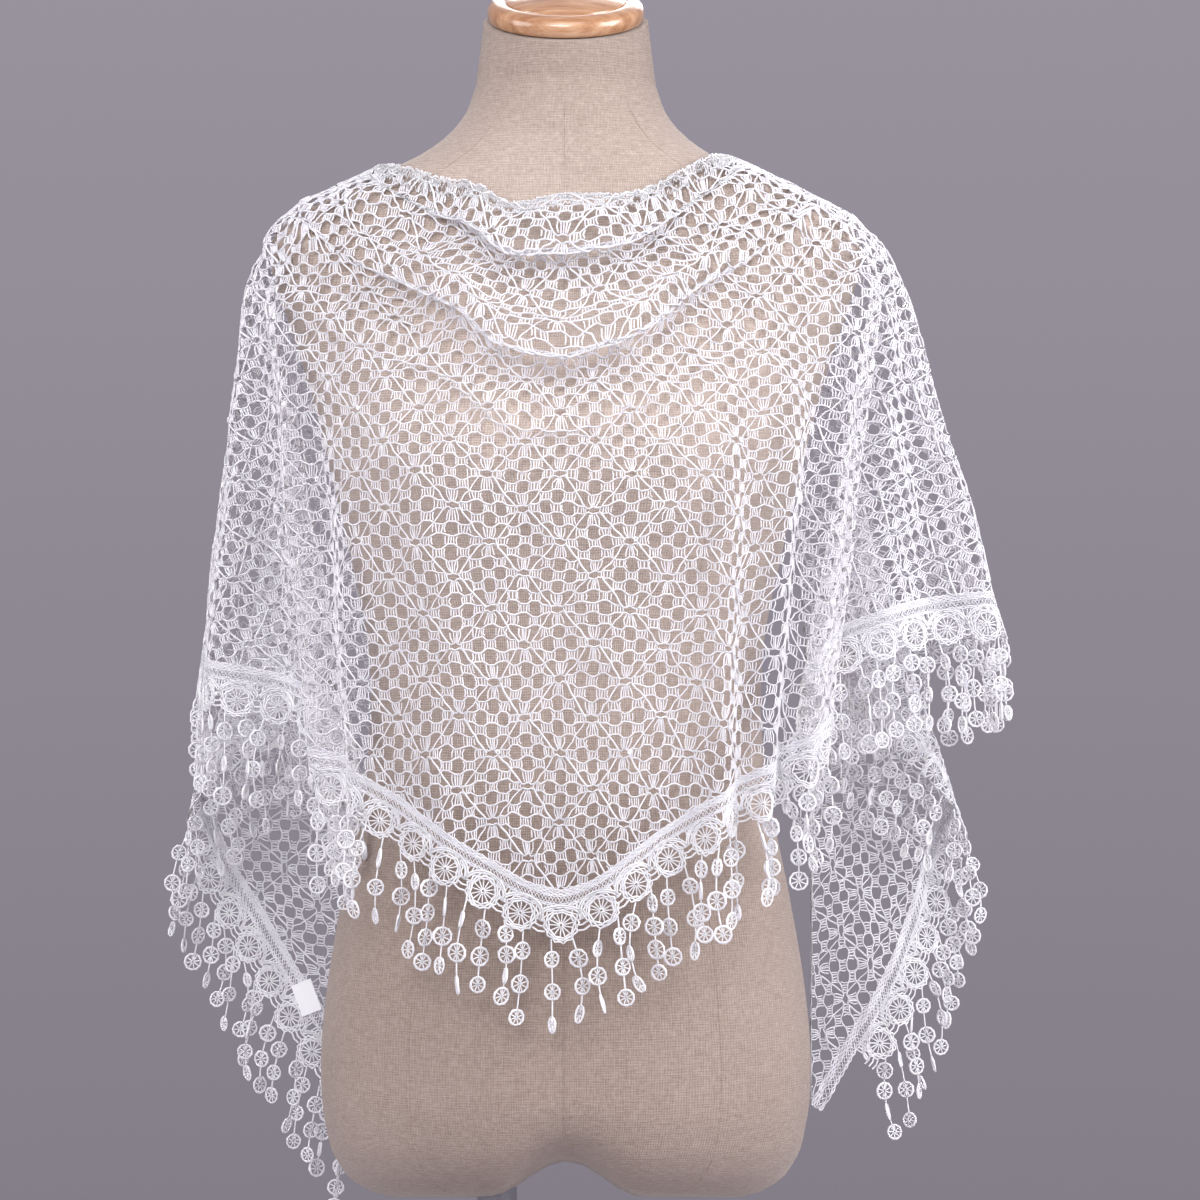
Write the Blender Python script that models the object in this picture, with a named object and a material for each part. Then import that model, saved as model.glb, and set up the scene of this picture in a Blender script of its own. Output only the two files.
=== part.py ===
"""A lace shawl, worn point forward on a limbless dress form.

The shawl is cut as one flat triangle. It lies over the form's shoulders with its point in front,
and its two long ends hang down behind as tails. Each station below is a straight line of that flat
cut, from the long edge to the hem, with the places in the air that its ends and its bend take.
Metres, +Z up, viewer in front at -Y. The origin is on the floor under the form's axis.
"""

import math

import bpy
import numpy as np
from mathutils import Matrix, Vector

CM = 0.01
SEAM = 0.0003
HEM_SEAM = 0.0009

# Flat cut of the shawl, with its trim and without its fringe
HEM_ANGLE = math.radians(31.8)
FLAT_DEPTH = 0.57
TRIM_WIDTH = 0.034
TAPE_WIDTH = 0.0105
TRIM_HALF_EDGE = FLAT_DEPTH / math.tan(HEM_ANGLE)

# Walls
CLOTH_WALL = 0.0012
STRIP_HEIGHT = 0.002
CLEARANCE = 0.0043
BEND_RADIUS = 0.045
BEND_SHARE = 0.48
PUSH_ROUNDS = 6
PUSH_STEP = 0.001
PUSH_MOST = 0.02

# Medallions and strands
MEDALLION_PITCH = 0.028
MEDALLION_HALF = 0.0105
GAP_TOP = 0.0165
GAP_BOTTOM = 0.0070
SCALLOP = 0.0035
STRAND_SHARES = (0.25, 0.75)
STRAND_LENGTH = 0.064
STRAND_ROOT = 0.0007
STRAND_THICKNESS = 0.8 * CLOTH_WALL
DISC_HALF = 0.0052
DISC_SPACING_SHARE = 0.42
STRAND_PROFILE = ((0.24, 1.0), (0.44, 0.2), (0.68, 1.0))
LEAN = 0.65
UP = np.array([0.0, 0.0, 1.0])
LABEL_PLACE = -0.945

# Form, cap and stand
NECK_TILT = math.radians(22)
NECK_TOP = Vector((0, -0.012, 1.042))
NECK_RADIUS = 0.0545
CAP_RADIUS = 0.052
POLE_X = -0.046
POLE_RADIUS = 0.0135
BASE_RADIUS = 0.15
BASE_HEIGHT = 0.012
ARCH_HALF = 0.031
ARCH_HEIGHT = 0.024
ARCH_DEPTH = 0.175
BOTTOM_SHARES = (0.8, 0.45)
NECK_SHARES = (0.5, 1.0)
RIM = 0.003
POLE_SIDES = 20
BASE_SIDES = 36
CAP_SIDES = 28
LABEL_SIZE = (0.023, 0.015, 0.001)

# Long edge of each side: distance along the cloth from the middle, then outward, back and up (cm)
EDGE_COLUMNS = ("s", "x", "y", "z")
EDGE_RIGHT = (
    (4.3, 3.9, -7.6, 92.3),
    (9.3, 7.5, -4.6, 93.9),
    (14.1, 10.6, -1.0, 95.1),
    (20.4, 11.4, 5.0, 93.5),
    (27.0, 12.8, 9.3, 88.5),
    (35.6, 14.8, 11.6, 80.5),
    (50.7, 16.4, 12.2, 65.5),
    (65.7, 16.9, 11.8, 50.5),
    (85.6, 16.9, 11.3, 30.6),
)
EDGE_LEFT = (
    (4.0, 3.9, -7.6, 91.8),
    (6.3, 5.5, -6.6, 93.0),
    (9.4, 8.2, -4.8, 93.5),
    (14.6, 11.9, -1.3, 94.2),
    (21.1, 12.3, 4.9, 92.4),
    (27.6, 12.6, 9.3, 87.5),
    (35.9, 13.0, 11.4, 79.5),
    (50.9, 13.0, 12.3, 64.5),
    (65.9, 12.9, 12.4, 49.5),
    (85.6, 12.8, 12.6, 29.8),
)
EDGE_MIDDLE = (0.0, 0.0, -8.5, 92.1)

# Stations: where the line starts on the long edge (s) and ends on the hem (h), then the bend where
# the cloth leaves the body and the trim's lower edge, each outward, back and up (cm)
STATION_COLUMNS = ("place", "s", "h", "bend_x", "bend_y", "bend_z", "hem_x", "hem_y", "hem_z")
MIDDLE = ("point", 0.0, 0.0, 0.0, -13.9, 74.5, -0.35, -14.0, 44.1)
RIGHT = (
    ("front", 5.0, 7.7, 6.5, -13.9, 75.0, 6.3, -13.6, 48.0),
    ("bust", 9.0, 13.0, 11.5, -12.2, 77.0, 10.7, -12.9, 50.7),
    ("bust side", 11.5, 17.5, 17.0, -8.0, 82.0, 14.0, -11.2, 52.8),
    ("front fold", 12.6, 21.5, 20.8, -4.2, 87.6, 16.8, -9.3, 55.0),
    ("tuck", 13.6, 26.5, 20.8, -2.7, 89.3, 14.8, -6.4, 57.3),
    ("side front", 14.0, 33.0, 21.1, -1.1, 90.2, 18.3, -3.2, 60.8),
    ("side", 14.4, 39.0, 21.6, 0.4, 90.5, 24.2, -1.2, 62.6),
    ("outermost", 15.0, 45.0, 21.7, 2.0, 90.2, 29.4, 0.5, 63.0),
    ("side back", 16.0, 51.0, 21.3, 3.8, 89.3, 28.5, 6.4, 62.3),
    ("back fold", 17.5, 57.0, 20.8, 5.3, 88.0, 25.4, 10.2, 61.2),
    ("back tuck", 19.4, 63.0, 20.0, 7.0, 86.8, 19.8, 8.0, 60.0),
    ("tuck turn", 22.0, 66.5, 19.2, 8.8, 84.8, 19.0, 10.8, 58.6),
    ("tail fold", 26.5, 71.0, 19.2, 10.8, 80.5, 22.2, 12.0, 55.6),
    ("tail top", 34.0, 76.0, 20.2, 12.5, 74.0, 26.0, 13.1, 52.4),
    ("tail turn", 38.5, 79.2, 20.6, 14.2, 70.0, 28.2, 14.8, 49.4),
    ("tail upper", 43.5, 82.4, 18.8, 15.0, 65.6, 27.6, 16.4, 46.5),
    ("tail middle", 55.0, 88.0, 18.9, 13.8, 55.5, 26.2, 15.4, 41.5),
    ("tail lower", 67.0, 94.0, 18.7, 12.5, 45.5, 24.2, 13.4, 36.4),
    ("tail end", 79.0, 100.0, 18.0, 11.9, 35.6, 21.1, 12.5, 31.3),
    ("tip", 85.5, 102.7, 17.9, 11.7, 30.0, 19.8, 12.2, 29.0),
)
LEFT = (
    ("front", 4.5, 6.0, 5.6, -13.9, 74.8, 5.7, -13.7, 46.6),
    ("bust", 8.5, 12.5, 11.0, -12.4, 77.0, 11.0, -12.3, 50.1),
    ("bust side", 11.5, 17.0, 16.0, -8.6, 81.5, 14.2, -9.9, 52.1),
    ("front fold", 12.8, 20.5, 19.8, -4.4, 86.8, 15.7, -7.4, 53.0),
    ("tuck", 13.4, 24.6, 20.0, -2.6, 88.4, 13.4, -4.9, 54.8),
    ("side front", 14.0, 30.5, 20.8, -1.0, 89.4, 18.2, -2.4, 57.2),
    ("outermost", 14.6, 37.0, 21.1, 0.6, 89.7, 24.2, -0.5, 58.4),
    ("side back", 15.4, 43.0, 21.0, 2.3, 89.3, 24.9, 5.4, 59.0),
    ("back fold", 16.4, 48.5, 20.6, 4.0, 88.4, 22.8, 9.4, 58.8),
    ("back tuck", 18.0, 55.5, 20.0, 5.8, 87.3, 16.0, 7.8, 57.2),
    ("tuck turn", 20.0, 59.0, 19.4, 7.6, 85.9, 15.4, 10.6, 56.0),
    ("tail fold", 23.4, 65.0, 18.9, 9.8, 83.4, 20.6, 12.4, 55.4),
    ("tail bend", 28.0, 70.0, 18.8, 11.6, 79.8, 24.5, 13.4, 53.2),
    ("tail turn", 33.0, 74.4, 18.4, 13.4, 75.2, 26.9, 15.0, 50.4),
    ("tail top", 38.0, 78.2, 17.0, 14.4, 71.0, 26.9, 16.8, 47.6),
    ("tail upper", 45.0, 82.5, 16.4, 14.8, 65.0, 25.8, 16.4, 44.4),
    ("tail middle", 56.0, 89.0, 15.8, 13.8, 53.5, 22.9, 14.8, 39.8),
    ("tail lower", 68.0, 95.0, 14.8, 12.9, 42.3, 19.8, 13.3, 34.7),
    ("tail end", 79.0, 100.0, 14.0, 12.8, 34.0, 17.0, 12.9, 30.5),
    ("tip", 85.5, 102.7, 13.8, 12.7, 29.0, 15.7, 12.8, 28.2),
)

# Cowl folds across the chest: distance from the neck edge at the middle and what it loses toward
# the shoulders, the height of the fold, its half width and how far out along the edge it reaches
FOLD_COLUMNS = ("depth", "rise", "height", "half_width", "reach")
COWL_FOLDS = (
    (0.050, 0.026, 0.019, 0.022, 0.120),
    (0.128, 0.050, 0.021, 0.035, 0.150),
)
FOLD_LINE_POWER = 1.3
FOLD_FADE_POWER = 3
FOLD_STEEPNESS = 1.6
FOLD_SAG = 0.35

# Stretches of the shawl: side, then where each starts and ends along the hem (cm)
STRETCHES = (
    ("tail_left", -102.7, -48.5),
    ("side_left", -48.5, -20.5),
    ("front", -20.5, 21.5),
    ("side_right", 21.5, 57.0),
    ("tail_right", 57.0, 102.7),
)

# Body of the form: height, half width, front depth, back depth (cm)
TORSO_COLUMNS = ("z", "half_width", "front", "back")
TORSO = (
    (26.0, 12.2, 7.4, 8.8),
    (26.8, 13.8, 8.8, 10.4),
    (28.4, 15.2, 10.0, 11.8),
    (31.0, 16.0, 10.8, 12.4),
    (35.0, 16.3, 11.1, 12.3),
    (40.0, 15.9, 11.0, 11.5),
    (46.0, 14.9, 10.6, 10.2),
    (52.0, 13.7, 10.0, 9.2),
    (58.0, 13.0, 9.4, 8.7),
    (63.0, 13.2, 9.4, 8.8),
    (69.0, 14.4, 10.6, 9.3),
    (75.0, 15.8, 11.9, 9.9),
    (80.0, 17.1, 10.6, 10.0),
    (85.0, 18.7, 9.0, 9.4),
    (88.0, 19.6, 7.9, 8.6),
    (90.0, 19.4, 7.2, 7.9),
    (91.4, 17.9, 6.9, 7.3),
    (92.8, 15.2, 6.8, 6.9),
    (94.1, 12.4, 6.7, 6.6),
    (95.2, 10.0, 6.5, 6.4),
    (96.4, 8.2, 6.2, 6.2),
    (97.8, 6.9, 6.1, 6.1),
    (100.0, 6.0, 5.8, 5.8),
)
TORSO_SIDES = 28
TORSO_POWER = 2.2
BUST_X = 0.082
BUST_Z = 0.755
BUST_LIFT = 0.016
BUST_SPREAD = 0.055

# Neck cap: how far in from the rim, then height (m)
CAP_COLUMNS = ("inward", "z")
CAP_PROFILE = (
    (0.0520, 0.0),
    (0.0030, 0.0),
    (0.0, 0.0030),
    (0.0, 0.0080),
    (0.0030, 0.0120),
    (0.0100, 0.0135),
    (0.0115, 0.0125),
    (0.0130, 0.0142),
    (0.0312, 0.0185),
    (0.0520, 0.0198),
)

LACE_ROWS = 13
LACE_ROW_POWER = 1.3
LEAST_BAND = 0.006
NORMAL_STEP = 0.0006

COLOURS = {
    "linen": (0.80, 0.72, 0.64),
    "turned": (0.62, 0.36, 0.17),
    "chrome": (0.75, 0.75, 0.77),
    "brushed": (0.55, 0.55, 0.57),
    "lace": (0.90, 0.89, 0.93),
    "tape": (0.90, 0.89, 0.93),
    "trim": (0.92, 0.91, 0.94),
    "fringe": (0.92, 0.91, 0.94),
    "label": (0.93, 0.93, 0.94),
}


def named(columns, rows):
    """The table as one array for each named column."""
    return {name: np.array([row[i] for row in rows]) for i, name in enumerate(columns)}


def through(xs, ys, x):
    """Smooth curve through points at uneven spacing, evaluated at x."""
    slopes = np.diff(ys, axis=0) / np.diff(xs)[:, None]
    widths = np.diff(xs)[:, None]
    inner = (slopes[:-1] * widths[1:] + slopes[1:] * widths[:-1]) / (widths[1:] + widths[:-1])
    tangents = np.vstack([slopes[:1], inner, slopes[-1:]])
    x = np.clip(x, xs[0], xs[-1])
    i = np.clip(np.searchsorted(xs, x, side="right") - 1, 0, len(xs) - 2)
    step = (xs[i + 1] - xs[i])[:, None]
    f = ((x - xs[i]) / (xs[i + 1] - xs[i]))[:, None]
    start = (1 + 2 * f) * (1 - f) ** 2 * ys[i] + f * (1 - f) ** 2 * step * tangents[i]
    end = f * f * (3 - 2 * f) * ys[i + 1] - f * f * (1 - f) * step * tangents[i + 1]
    return start + end


def both_sides(left, middle, right, mirrored):
    """Rows of the left side, turned round and mirrored, then the middle and the right side."""
    turned = []
    for row in reversed(left):
        turned.append(tuple(-v if i in mirrored else v for i, v in enumerate(row)))
    return turned + [middle] + list(right)


EDGE = named(EDGE_COLUMNS, both_sides(EDGE_LEFT, EDGE_MIDDLE, EDGE_RIGHT, (0, 1)))
STATION = named(STATION_COLUMNS, both_sides(LEFT, MIDDLE, RIGHT, (1, 2, 3, 6)))
BODY = named(TORSO_COLUMNS, TORSO)


def columns_of(table, names):
    return np.column_stack([table[name] for name in names]) * CM


def torso_section(z):
    """Half width, front depth and back depth of the form at each height."""
    heights = BODY["z"] * CM
    return through(heights, columns_of(BODY, ("half_width", "front", "back")), z)


def bust(x, z):
    """How far the two rounds of the bust stand out in front of the plain section."""
    lift = np.exp(-((z - BUST_Z) ** 2 + (np.abs(x) - BUST_X) ** 2) / (2 * BUST_SPREAD ** 2))
    return BUST_LIFT * lift


def torso_level(p):
    """1 on the form's skin, less inside and more outside."""
    size = torso_section(p[:, 2])
    depth = np.where(p[:, 1] < 0, size[:, 1] + bust(p[:, 0], p[:, 2]), size[:, 2])
    wide = (np.abs(p[:, 0]) / size[:, 0]) ** TORSO_POWER
    deep = (np.abs(p[:, 1]) / depth) ** TORSO_POWER
    return (wide + deep) ** (1 / TORSO_POWER)


def clear_of_form(p, clearance):
    """Move the points that lie too near the form straight out from its skin."""
    for _ in range(PUSH_ROUNDS):
        level = torso_level(p)
        slope = np.column_stack([
            (torso_level(p + axis) - torso_level(p - axis)) / (2 * PUSH_STEP)
            for axis in np.eye(3) * PUSH_STEP
        ])
        size = np.linalg.norm(slope, axis=1)
        short = clearance - (level - 1) / size
        push = np.clip(short, 0, PUSH_MOST)[:, None] * slope / size[:, None]
        p = p + push
    return p


def edge_start(h):
    """Distance along the long edge where the station that ends at h on the hem starts."""
    starts = columns_of(STATION, ("s",))
    return through(STATION["h"] * CM, starts, h)[:, 0]


def cowl(h, reached):
    """Height of the cowl folds at a distance from the neck edge."""
    s = edge_start(h)
    height = np.zeros_like(h)
    for row in COWL_FOLDS:
        fold = dict(zip(FOLD_COLUMNS, row))
        out = np.clip(np.abs(s) / fold["reach"], 0, 1)
        line = fold["depth"] - fold["rise"] * out ** FOLD_LINE_POWER
        swell = np.exp(-((reached - line) / fold["half_width"]) ** 2 * FOLD_STEEPNESS)
        height += fold["height"] * swell * (1 - out ** FOLD_FADE_POWER)
    return height


def drape(h, v):
    """Places of the cloth's middle surface: h along the hem, v from the long edge to the hem."""
    h = np.asarray(h, float)
    v = np.asarray(v, float)
    ends = STATION["h"] * CM
    start = through(EDGE["s"] * CM, columns_of(EDGE, ("x", "y", "z")), edge_start(h))
    bend = through(ends, columns_of(STATION, ("bend_x", "bend_y", "bend_z")), h)
    hem = through(ends, columns_of(STATION, ("hem_x", "hem_y", "hem_z")), h)
    upper = np.linalg.norm(bend - start, axis=1)
    lower = np.linalg.norm(hem - bend, axis=1)
    first = (bend - start) / upper[:, None]
    second = (hem - bend) / lower[:, None]
    reached = v * (upper + lower)
    r = np.minimum(BEND_RADIUS, BEND_SHARE * np.minimum(upper, lower))
    f = np.clip((reached - upper + r) / (2 * r), 0, 1)[:, None]
    leg = r[:, None]
    rounded = (bend - first * leg) * (1 - f) ** 2 + 2 * bend * f * (1 - f)
    rounded = rounded + (bend + second * leg) * f ** 2
    before = start + first * reached[:, None]
    after = bend + second * (reached - upper)[:, None]
    path = np.where((reached < upper - r)[:, None], before, rounded)
    path = np.where((reached > upper + r)[:, None], after, path)
    out = cowl(h, reached)
    path = path + np.column_stack([np.zeros_like(h), -out, -FOLD_SAG * out])
    return clear_of_form(path, CLEARANCE)


def normal_at(h, v):
    """Outward side of the cloth: away from the form at the front."""
    across = drape(h + NORMAL_STEP, v) - drape(h - NORMAL_STEP, v)
    down = drape(h, v + NORMAL_STEP) - drape(h, v - NORMAL_STEP)
    out = np.cross(down, across)
    return out / np.linalg.norm(out, axis=1)[:, None]


def share_above_hem(h, width):
    """v of a line that runs a width above the trim's lower edge."""
    reach = (TRIM_HALF_EDGE - np.abs(edge_start(h))) * math.sin(HEM_ANGLE)
    return np.clip(1 - width / reach, 0, 1)


def hem_places(spacing, first, last):
    """Places along the hem, about a spacing apart on the cloth in the air."""
    fine = np.linspace(first, last, 400)
    line = drape(fine, np.ones_like(fine))
    run = np.concatenate([[0], np.cumsum(np.linalg.norm(np.diff(line, axis=0), axis=1))])
    count = max(2, round(run[-1] / spacing))
    return np.interp(np.linspace(0, run[-1], count + 1), run, fine)


def between(columns, h):
    """The column before each place on the hem, and how far the place is on toward the next."""
    before = np.clip(np.searchsorted(columns, h, side="right") - 1, 0, len(columns) - 2)
    return before, (h - columns[before]) / (columns[before + 1] - columns[before])


def band_points(columns, h, width):
    """Points and sides at a width above the trim's lower edge, on straight runs between columns."""
    before, on = between(columns, h)
    points, sides = 0, 0
    for column, weight in ((columns[before], 1 - on), (columns[before + 1], on)):
        v = share_above_hem(column, width)
        points = points + drape(column, v) * weight[:, None]
        sides = sides + normal_at(column, v) * weight[:, None]
    return points, sides


def material(name, roughness, metallic=0.0):
    made = bpy.data.materials.new(name)
    made.use_nodes = True
    shader = made.node_tree.nodes["Principled BSDF"]
    shader.inputs["Base Color"].default_value = (*COLOURS[name.split("_")[0]], 1)
    shader.inputs["Roughness"].default_value = roughness
    shader.inputs["Metallic"].default_value = metallic
    return made


def add_object(name, verts, faces, surface, smooth=60):
    mesh = bpy.data.meshes.new(name)
    mesh.from_pydata([tuple(v) for v in verts], [], faces)
    mesh.validate()
    mesh.shade_smooth()
    mesh.set_sharp_from_angle(angle=math.radians(smooth))
    made = bpy.data.objects.new(name, mesh)
    made.data.materials.append(surface)
    bpy.context.collection.objects.link(made)
    return made


def wall(name, middle, side, surface, holes=()):
    """Closed wall. middle and side hold columns by rows of points and of half thicknesses.

    The narrow faces along the hem are split on one diagonal, so that two walls fit where they twist.
    """
    columns, rows = middle.shape[:2]
    middle, side = middle.reshape(-1, 3), side.reshape(-1, 3)
    verts = np.vstack([middle + side, middle - side])
    under = columns * rows

    def at(i, j):
        return i * rows + j

    cells = {(i, j) for i in range(columns - 1) for j in range(rows - 1)} - set(holes)
    faces = []
    for i, j in sorted(cells):
        a, b, c, d = at(i, j), at(i, j + 1), at(i + 1, j + 1), at(i + 1, j)
        faces.append((a, b, c, d))
        faces.append((a + under, d + under, c + under, b + under))
        if (i - 1, j) not in cells:
            faces.append((b, a, a + under, b + under))
        if (i + 1, j) not in cells:
            faces.append((d, c, c + under, d + under))
        if (i, j - 1) not in cells:
            faces += [(a, d, d + under), (a, d + under, a + under)]
        if (i, j + 1) not in cells:
            faces += [(c, b, c + under), (b, b + under, c + under)]
    return add_object(name, verts, faces, surface)


def lace_stretch(name, columns, surface):
    """Net between the long edge and the tape."""
    bottom = share_above_hem(columns, TRIM_WIDTH + HEM_SEAM)
    drop = drape(columns, bottom) - drape(columns, np.zeros_like(columns))
    keep = np.linalg.norm(drop, axis=1) > LEAST_BAND
    h, bottom = columns[keep], bottom[keep]
    parts = (np.arange(LACE_ROWS + 1) / LACE_ROWS) ** LACE_ROW_POWER
    v = (bottom[:, None] * parts[None, :]).ravel()
    h = np.repeat(h, LACE_ROWS + 1)
    shape = (-1, LACE_ROWS + 1, 3)
    return wall("lace_" + name, drape(h, v).reshape(shape),
                (normal_at(h, v) * CLOTH_WALL / 2).reshape(shape), surface)


def band(name, columns, h, widths, thickness, surface, holes=()):
    """Wall that follows the hem. widths has one array for each line, from its top line down."""
    lines = [band_points(columns, h, width) for width in widths]
    middle = np.stack([line[0] for line in lines], axis=1)
    side = np.stack([line[1] for line in lines], axis=1) * thickness / 2
    return wall(name, middle, side, surface, holes)


def tape_stretch(name, columns, surface):
    """Woven tape. Near the tail's tip it ends where the long edge cuts it."""
    h = columns[share_above_hem(columns, TRIM_WIDTH - TAPE_WIDTH * 0.5) > 0]
    widths = (TRIM_WIDTH, TRIM_WIDTH - TAPE_WIDTH + HEM_SEAM)
    return band("tape_" + name, columns, h, widths, CLOTH_WALL, surface)


def trim_stretch(name, columns, surface):
    """Scalloped strip with a medallion at each column, cut through between medallions."""
    half = MEDALLION_HALF / MEDALLION_PITCH * np.diff(columns)
    h = np.concatenate([columns, columns[:-1] + half, columns[1:] - half])
    drop = np.concatenate([np.zeros_like(columns), np.full(2 * len(half), SCALLOP)])
    order = np.argsort(h)
    h, drop = h[order], drop[order] + STRIP_HEIGHT + HEM_SEAM
    holes = [(3 * i + 1, 1) for i in range(len(half))]
    widths = (TRIM_WIDTH - TAPE_WIDTH, GAP_TOP, GAP_BOTTOM, drop)
    return band("trim_" + name, columns, h, widths, CLOTH_WALL, surface, holes)


def strand(verts, faces, ring, root, fall, along, across, half_width):
    """Grow a strand with flat swellings and a point from the four corners of its root."""
    for depth, width in STRAND_PROFILE:
        centre = root + fall * STRAND_LENGTH * depth
        wide = along * half_width * width
        thin = across * STRAND_THICKNESS / 2
        fresh = list(range(len(verts), len(verts) + 4))
        verts += [centre - wide + thin, centre - wide - thin, centre + wide - thin,
                  centre + wide + thin]
        for j in range(4):
            on = (j + 1) % 4
            faces.append((ring[on], fresh[on], fresh[j], ring[j]))
        ring = fresh
    verts.append(root + fall * STRAND_LENGTH)
    faces += [(ring[(j + 1) % 4], len(verts) - 1, ring[j]) for j in range(4)]


def fringe_stretch(name, columns, surface):
    """Strands, two for each medallion, that hang from one narrow strip just below the trim."""
    step = np.diff(columns)
    roots = np.sort(np.concatenate([columns[:-1] + step * at for at in STRAND_SHARES]))
    spread = STRAND_ROOT / MEDALLION_PITCH * step.mean()
    h = np.sort(np.concatenate([columns, roots - spread, roots + spread]))
    upper, side = band_points(columns, h, STRIP_HEIGHT)
    lower, _ = band_points(columns, h, 0)
    ends, _ = band_points(columns, roots, 0)
    side = side * CLOTH_WALL / 2
    corners = np.stack([upper + side, lower + side, lower - side, upper - side], axis=1)
    verts = list(corners.reshape(-1, 3))
    faces = [(3, 2, 1, 0)]
    for i in range(len(h) - 1):
        a, b = 4 * i, 4 * i + 4
        faces.append((a, a + 1, b + 1, b))
        faces.append((a + 2, a + 3, b + 3, b + 2))
        faces += [(a, b, b + 3), (a, b + 3, a + 3)]
        k = np.argmin(np.abs(roots - (h[i] + h[i + 1]) / 2))
        if not h[i] < roots[k] < h[i + 1]:
            faces.append((a + 1, a + 2, b + 2, b + 1))
            continue
        near = [ends[j] - ends[k] for j in (k - 1, k + 1) if 0 <= j < len(ends)]
        apart = min(math.hypot(gap[0], gap[1]) for gap in near)
        outward = lower[i] - upper[i]
        fall = LEAN * outward / np.linalg.norm(outward) - UP
        fall = fall / np.linalg.norm(fall)
        along = np.cross(side[i], fall)
        along = along / np.linalg.norm(along) * np.sign(np.dot(along, lower[i + 1] - lower[i]))
        across = np.cross(along, fall)
        across = across * np.sign(np.dot(across, side[i]))
        half = min(DISC_HALF, max(STRAND_ROOT, DISC_SPACING_SHARE * apart))
        strand(verts, faces, [a + 1, a + 2, b + 2, b + 1], ends[k], fall, along, across, half)
    end = 4 * (len(h) - 1)
    faces.append((end, end + 1, end + 2, end + 3))
    return add_object("fringe_" + name, verts, faces, surface)


def ring_points(z, count):
    """One closed section of the form."""
    size = torso_section(np.array([z]))[0]
    points = []
    for k in range(count):
        angle = 2 * math.pi * k / count
        x, y = math.cos(angle), math.sin(angle)
        radius = (abs(x) ** TORSO_POWER + abs(y) ** TORSO_POWER) ** (-1 / TORSO_POWER)
        x, y = x * radius * size[0], y * radius
        deep = size[1] + float(bust(np.array([x]), np.array([z]))[0])
        points.append(Vector((x, y * (deep if y < 0 else size[2]), z)))
    return points


def arch(x):
    """Height of the small arch between the form's two lower rounds."""
    if abs(x) > ARCH_HALF:
        return 0.0
    return ARCH_HEIGHT * math.cos(math.pi * x / (2 * ARCH_HALF)) ** 2


def form_torso(surface):
    """Skin of the form, lofted through its sections, with a tilted neck and an arched bottom."""
    heights = [row[0] * CM for row in TORSO]
    rings = [ring_points(z, TORSO_SIDES) for z in heights]
    for lift in NECK_SHARES:
        ring = []
        for k in range(TORSO_SIDES):
            angle = 2 * math.pi * k / TORSO_SIDES
            flat = Vector((NECK_RADIUS * math.cos(angle), NECK_RADIUS * math.sin(angle), 0))
            tilted = Matrix.Rotation(NECK_TILT, 3, "X") @ flat + NECK_TOP
            ring.append(rings[len(TORSO) - 1][k].lerp(tilted, lift))
        rings.append(ring)
    floor_z = heights[0]
    bottoms = []
    for share in BOTTOM_SHARES:
        ring = []
        for point in rings[0]:
            x, y = point.x * share, point.y * share
            ring.append(Vector((x, y, floor_z + arch(x) * (1 - abs(y) / ARCH_DEPTH))))
        bottoms.insert(0, ring)
    rings = bottoms + rings
    verts = [p for ring in rings for p in ring]
    faces = []
    n = TORSO_SIDES
    for i in range(len(rings) - 1):
        for k in range(n):
            a, b = i * n + k, i * n + (k + 1) % n
            faces.append((a, b, b + n, a + n))
    verts.append(Vector((0, 0, floor_z + ARCH_HEIGHT)))
    centre = len(verts) - 1
    faces += [((k + 1) % n, k, centre) for k in range(n)]
    top = (len(rings) - 1) * n
    faces.append(tuple(range(top, top + n)))
    return add_object("form_torso", verts, faces, surface, 50)


def turned(name, profile, surface, sides, place=Vector((0, 0, 0)), tilt=0.0):
    """Solid of revolution. The profile runs from the axis at the bottom to the axis at the top."""
    verts, faces = [], []
    turn = Matrix.Rotation(tilt, 3, "X")
    inner = profile[1:-1]
    for radius, z in inner:
        for k in range(sides):
            angle = 2 * math.pi * k / sides
            verts.append(turn @ Vector((radius * math.cos(angle), radius * math.sin(angle), z)) + place)
    for i in range(len(inner) - 1):
        for k in range(sides):
            a, b = i * sides + k, i * sides + (k + 1) % sides
            faces.append((a, b, b + sides, a + sides))
    faces.append(tuple(range(sides))[::-1])
    top = (len(inner) - 1) * sides
    if profile[-1][1] > inner[-1][1]:
        verts.append(turn @ Vector((0, 0, profile[-1][1])) + place)
        faces += [(top + k, top + (k + 1) % sides, len(verts) - 1) for k in range(sides)]
    else:
        faces.append(tuple(range(top, top + sides)))
    return add_object(name, verts, faces, surface, 40)


def care_label(surface):
    """Bare label on the tape of the left tail, on the side that faces the viewer."""
    h = np.array([LABEL_PLACE])
    v = share_above_hem(h, TRIM_WIDTH - TAPE_WIDTH / 2)
    place = Vector(drape(h, v)[0])
    inward = -Vector(normal_at(h, v)[0])
    if inward.y > 0:
        inward = -inward
    along = Vector((drape(h + 0.01, v) - drape(h - 0.01, v))[0]).normalized()
    along = (along - inward * along.dot(inward)).normalized()
    across = inward.cross(along)
    centre = place + inward * (CLOTH_WALL / 2 + 2 * SEAM + LABEL_SIZE[2] / 2)
    verts = []
    for x in (-1, 1):
        for y in (-1, 1):
            for z in (-1, 1):
                step = along * x * LABEL_SIZE[0] + across * y * LABEL_SIZE[1] + inward * z * LABEL_SIZE[2]
                verts.append(centre + step / 2)
    faces = [(0, 1, 3, 2), (4, 6, 7, 5), (0, 4, 5, 1), (2, 3, 7, 6), (0, 2, 6, 4), (1, 5, 7, 3)]
    return add_object("care_label", verts, faces, surface)


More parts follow.
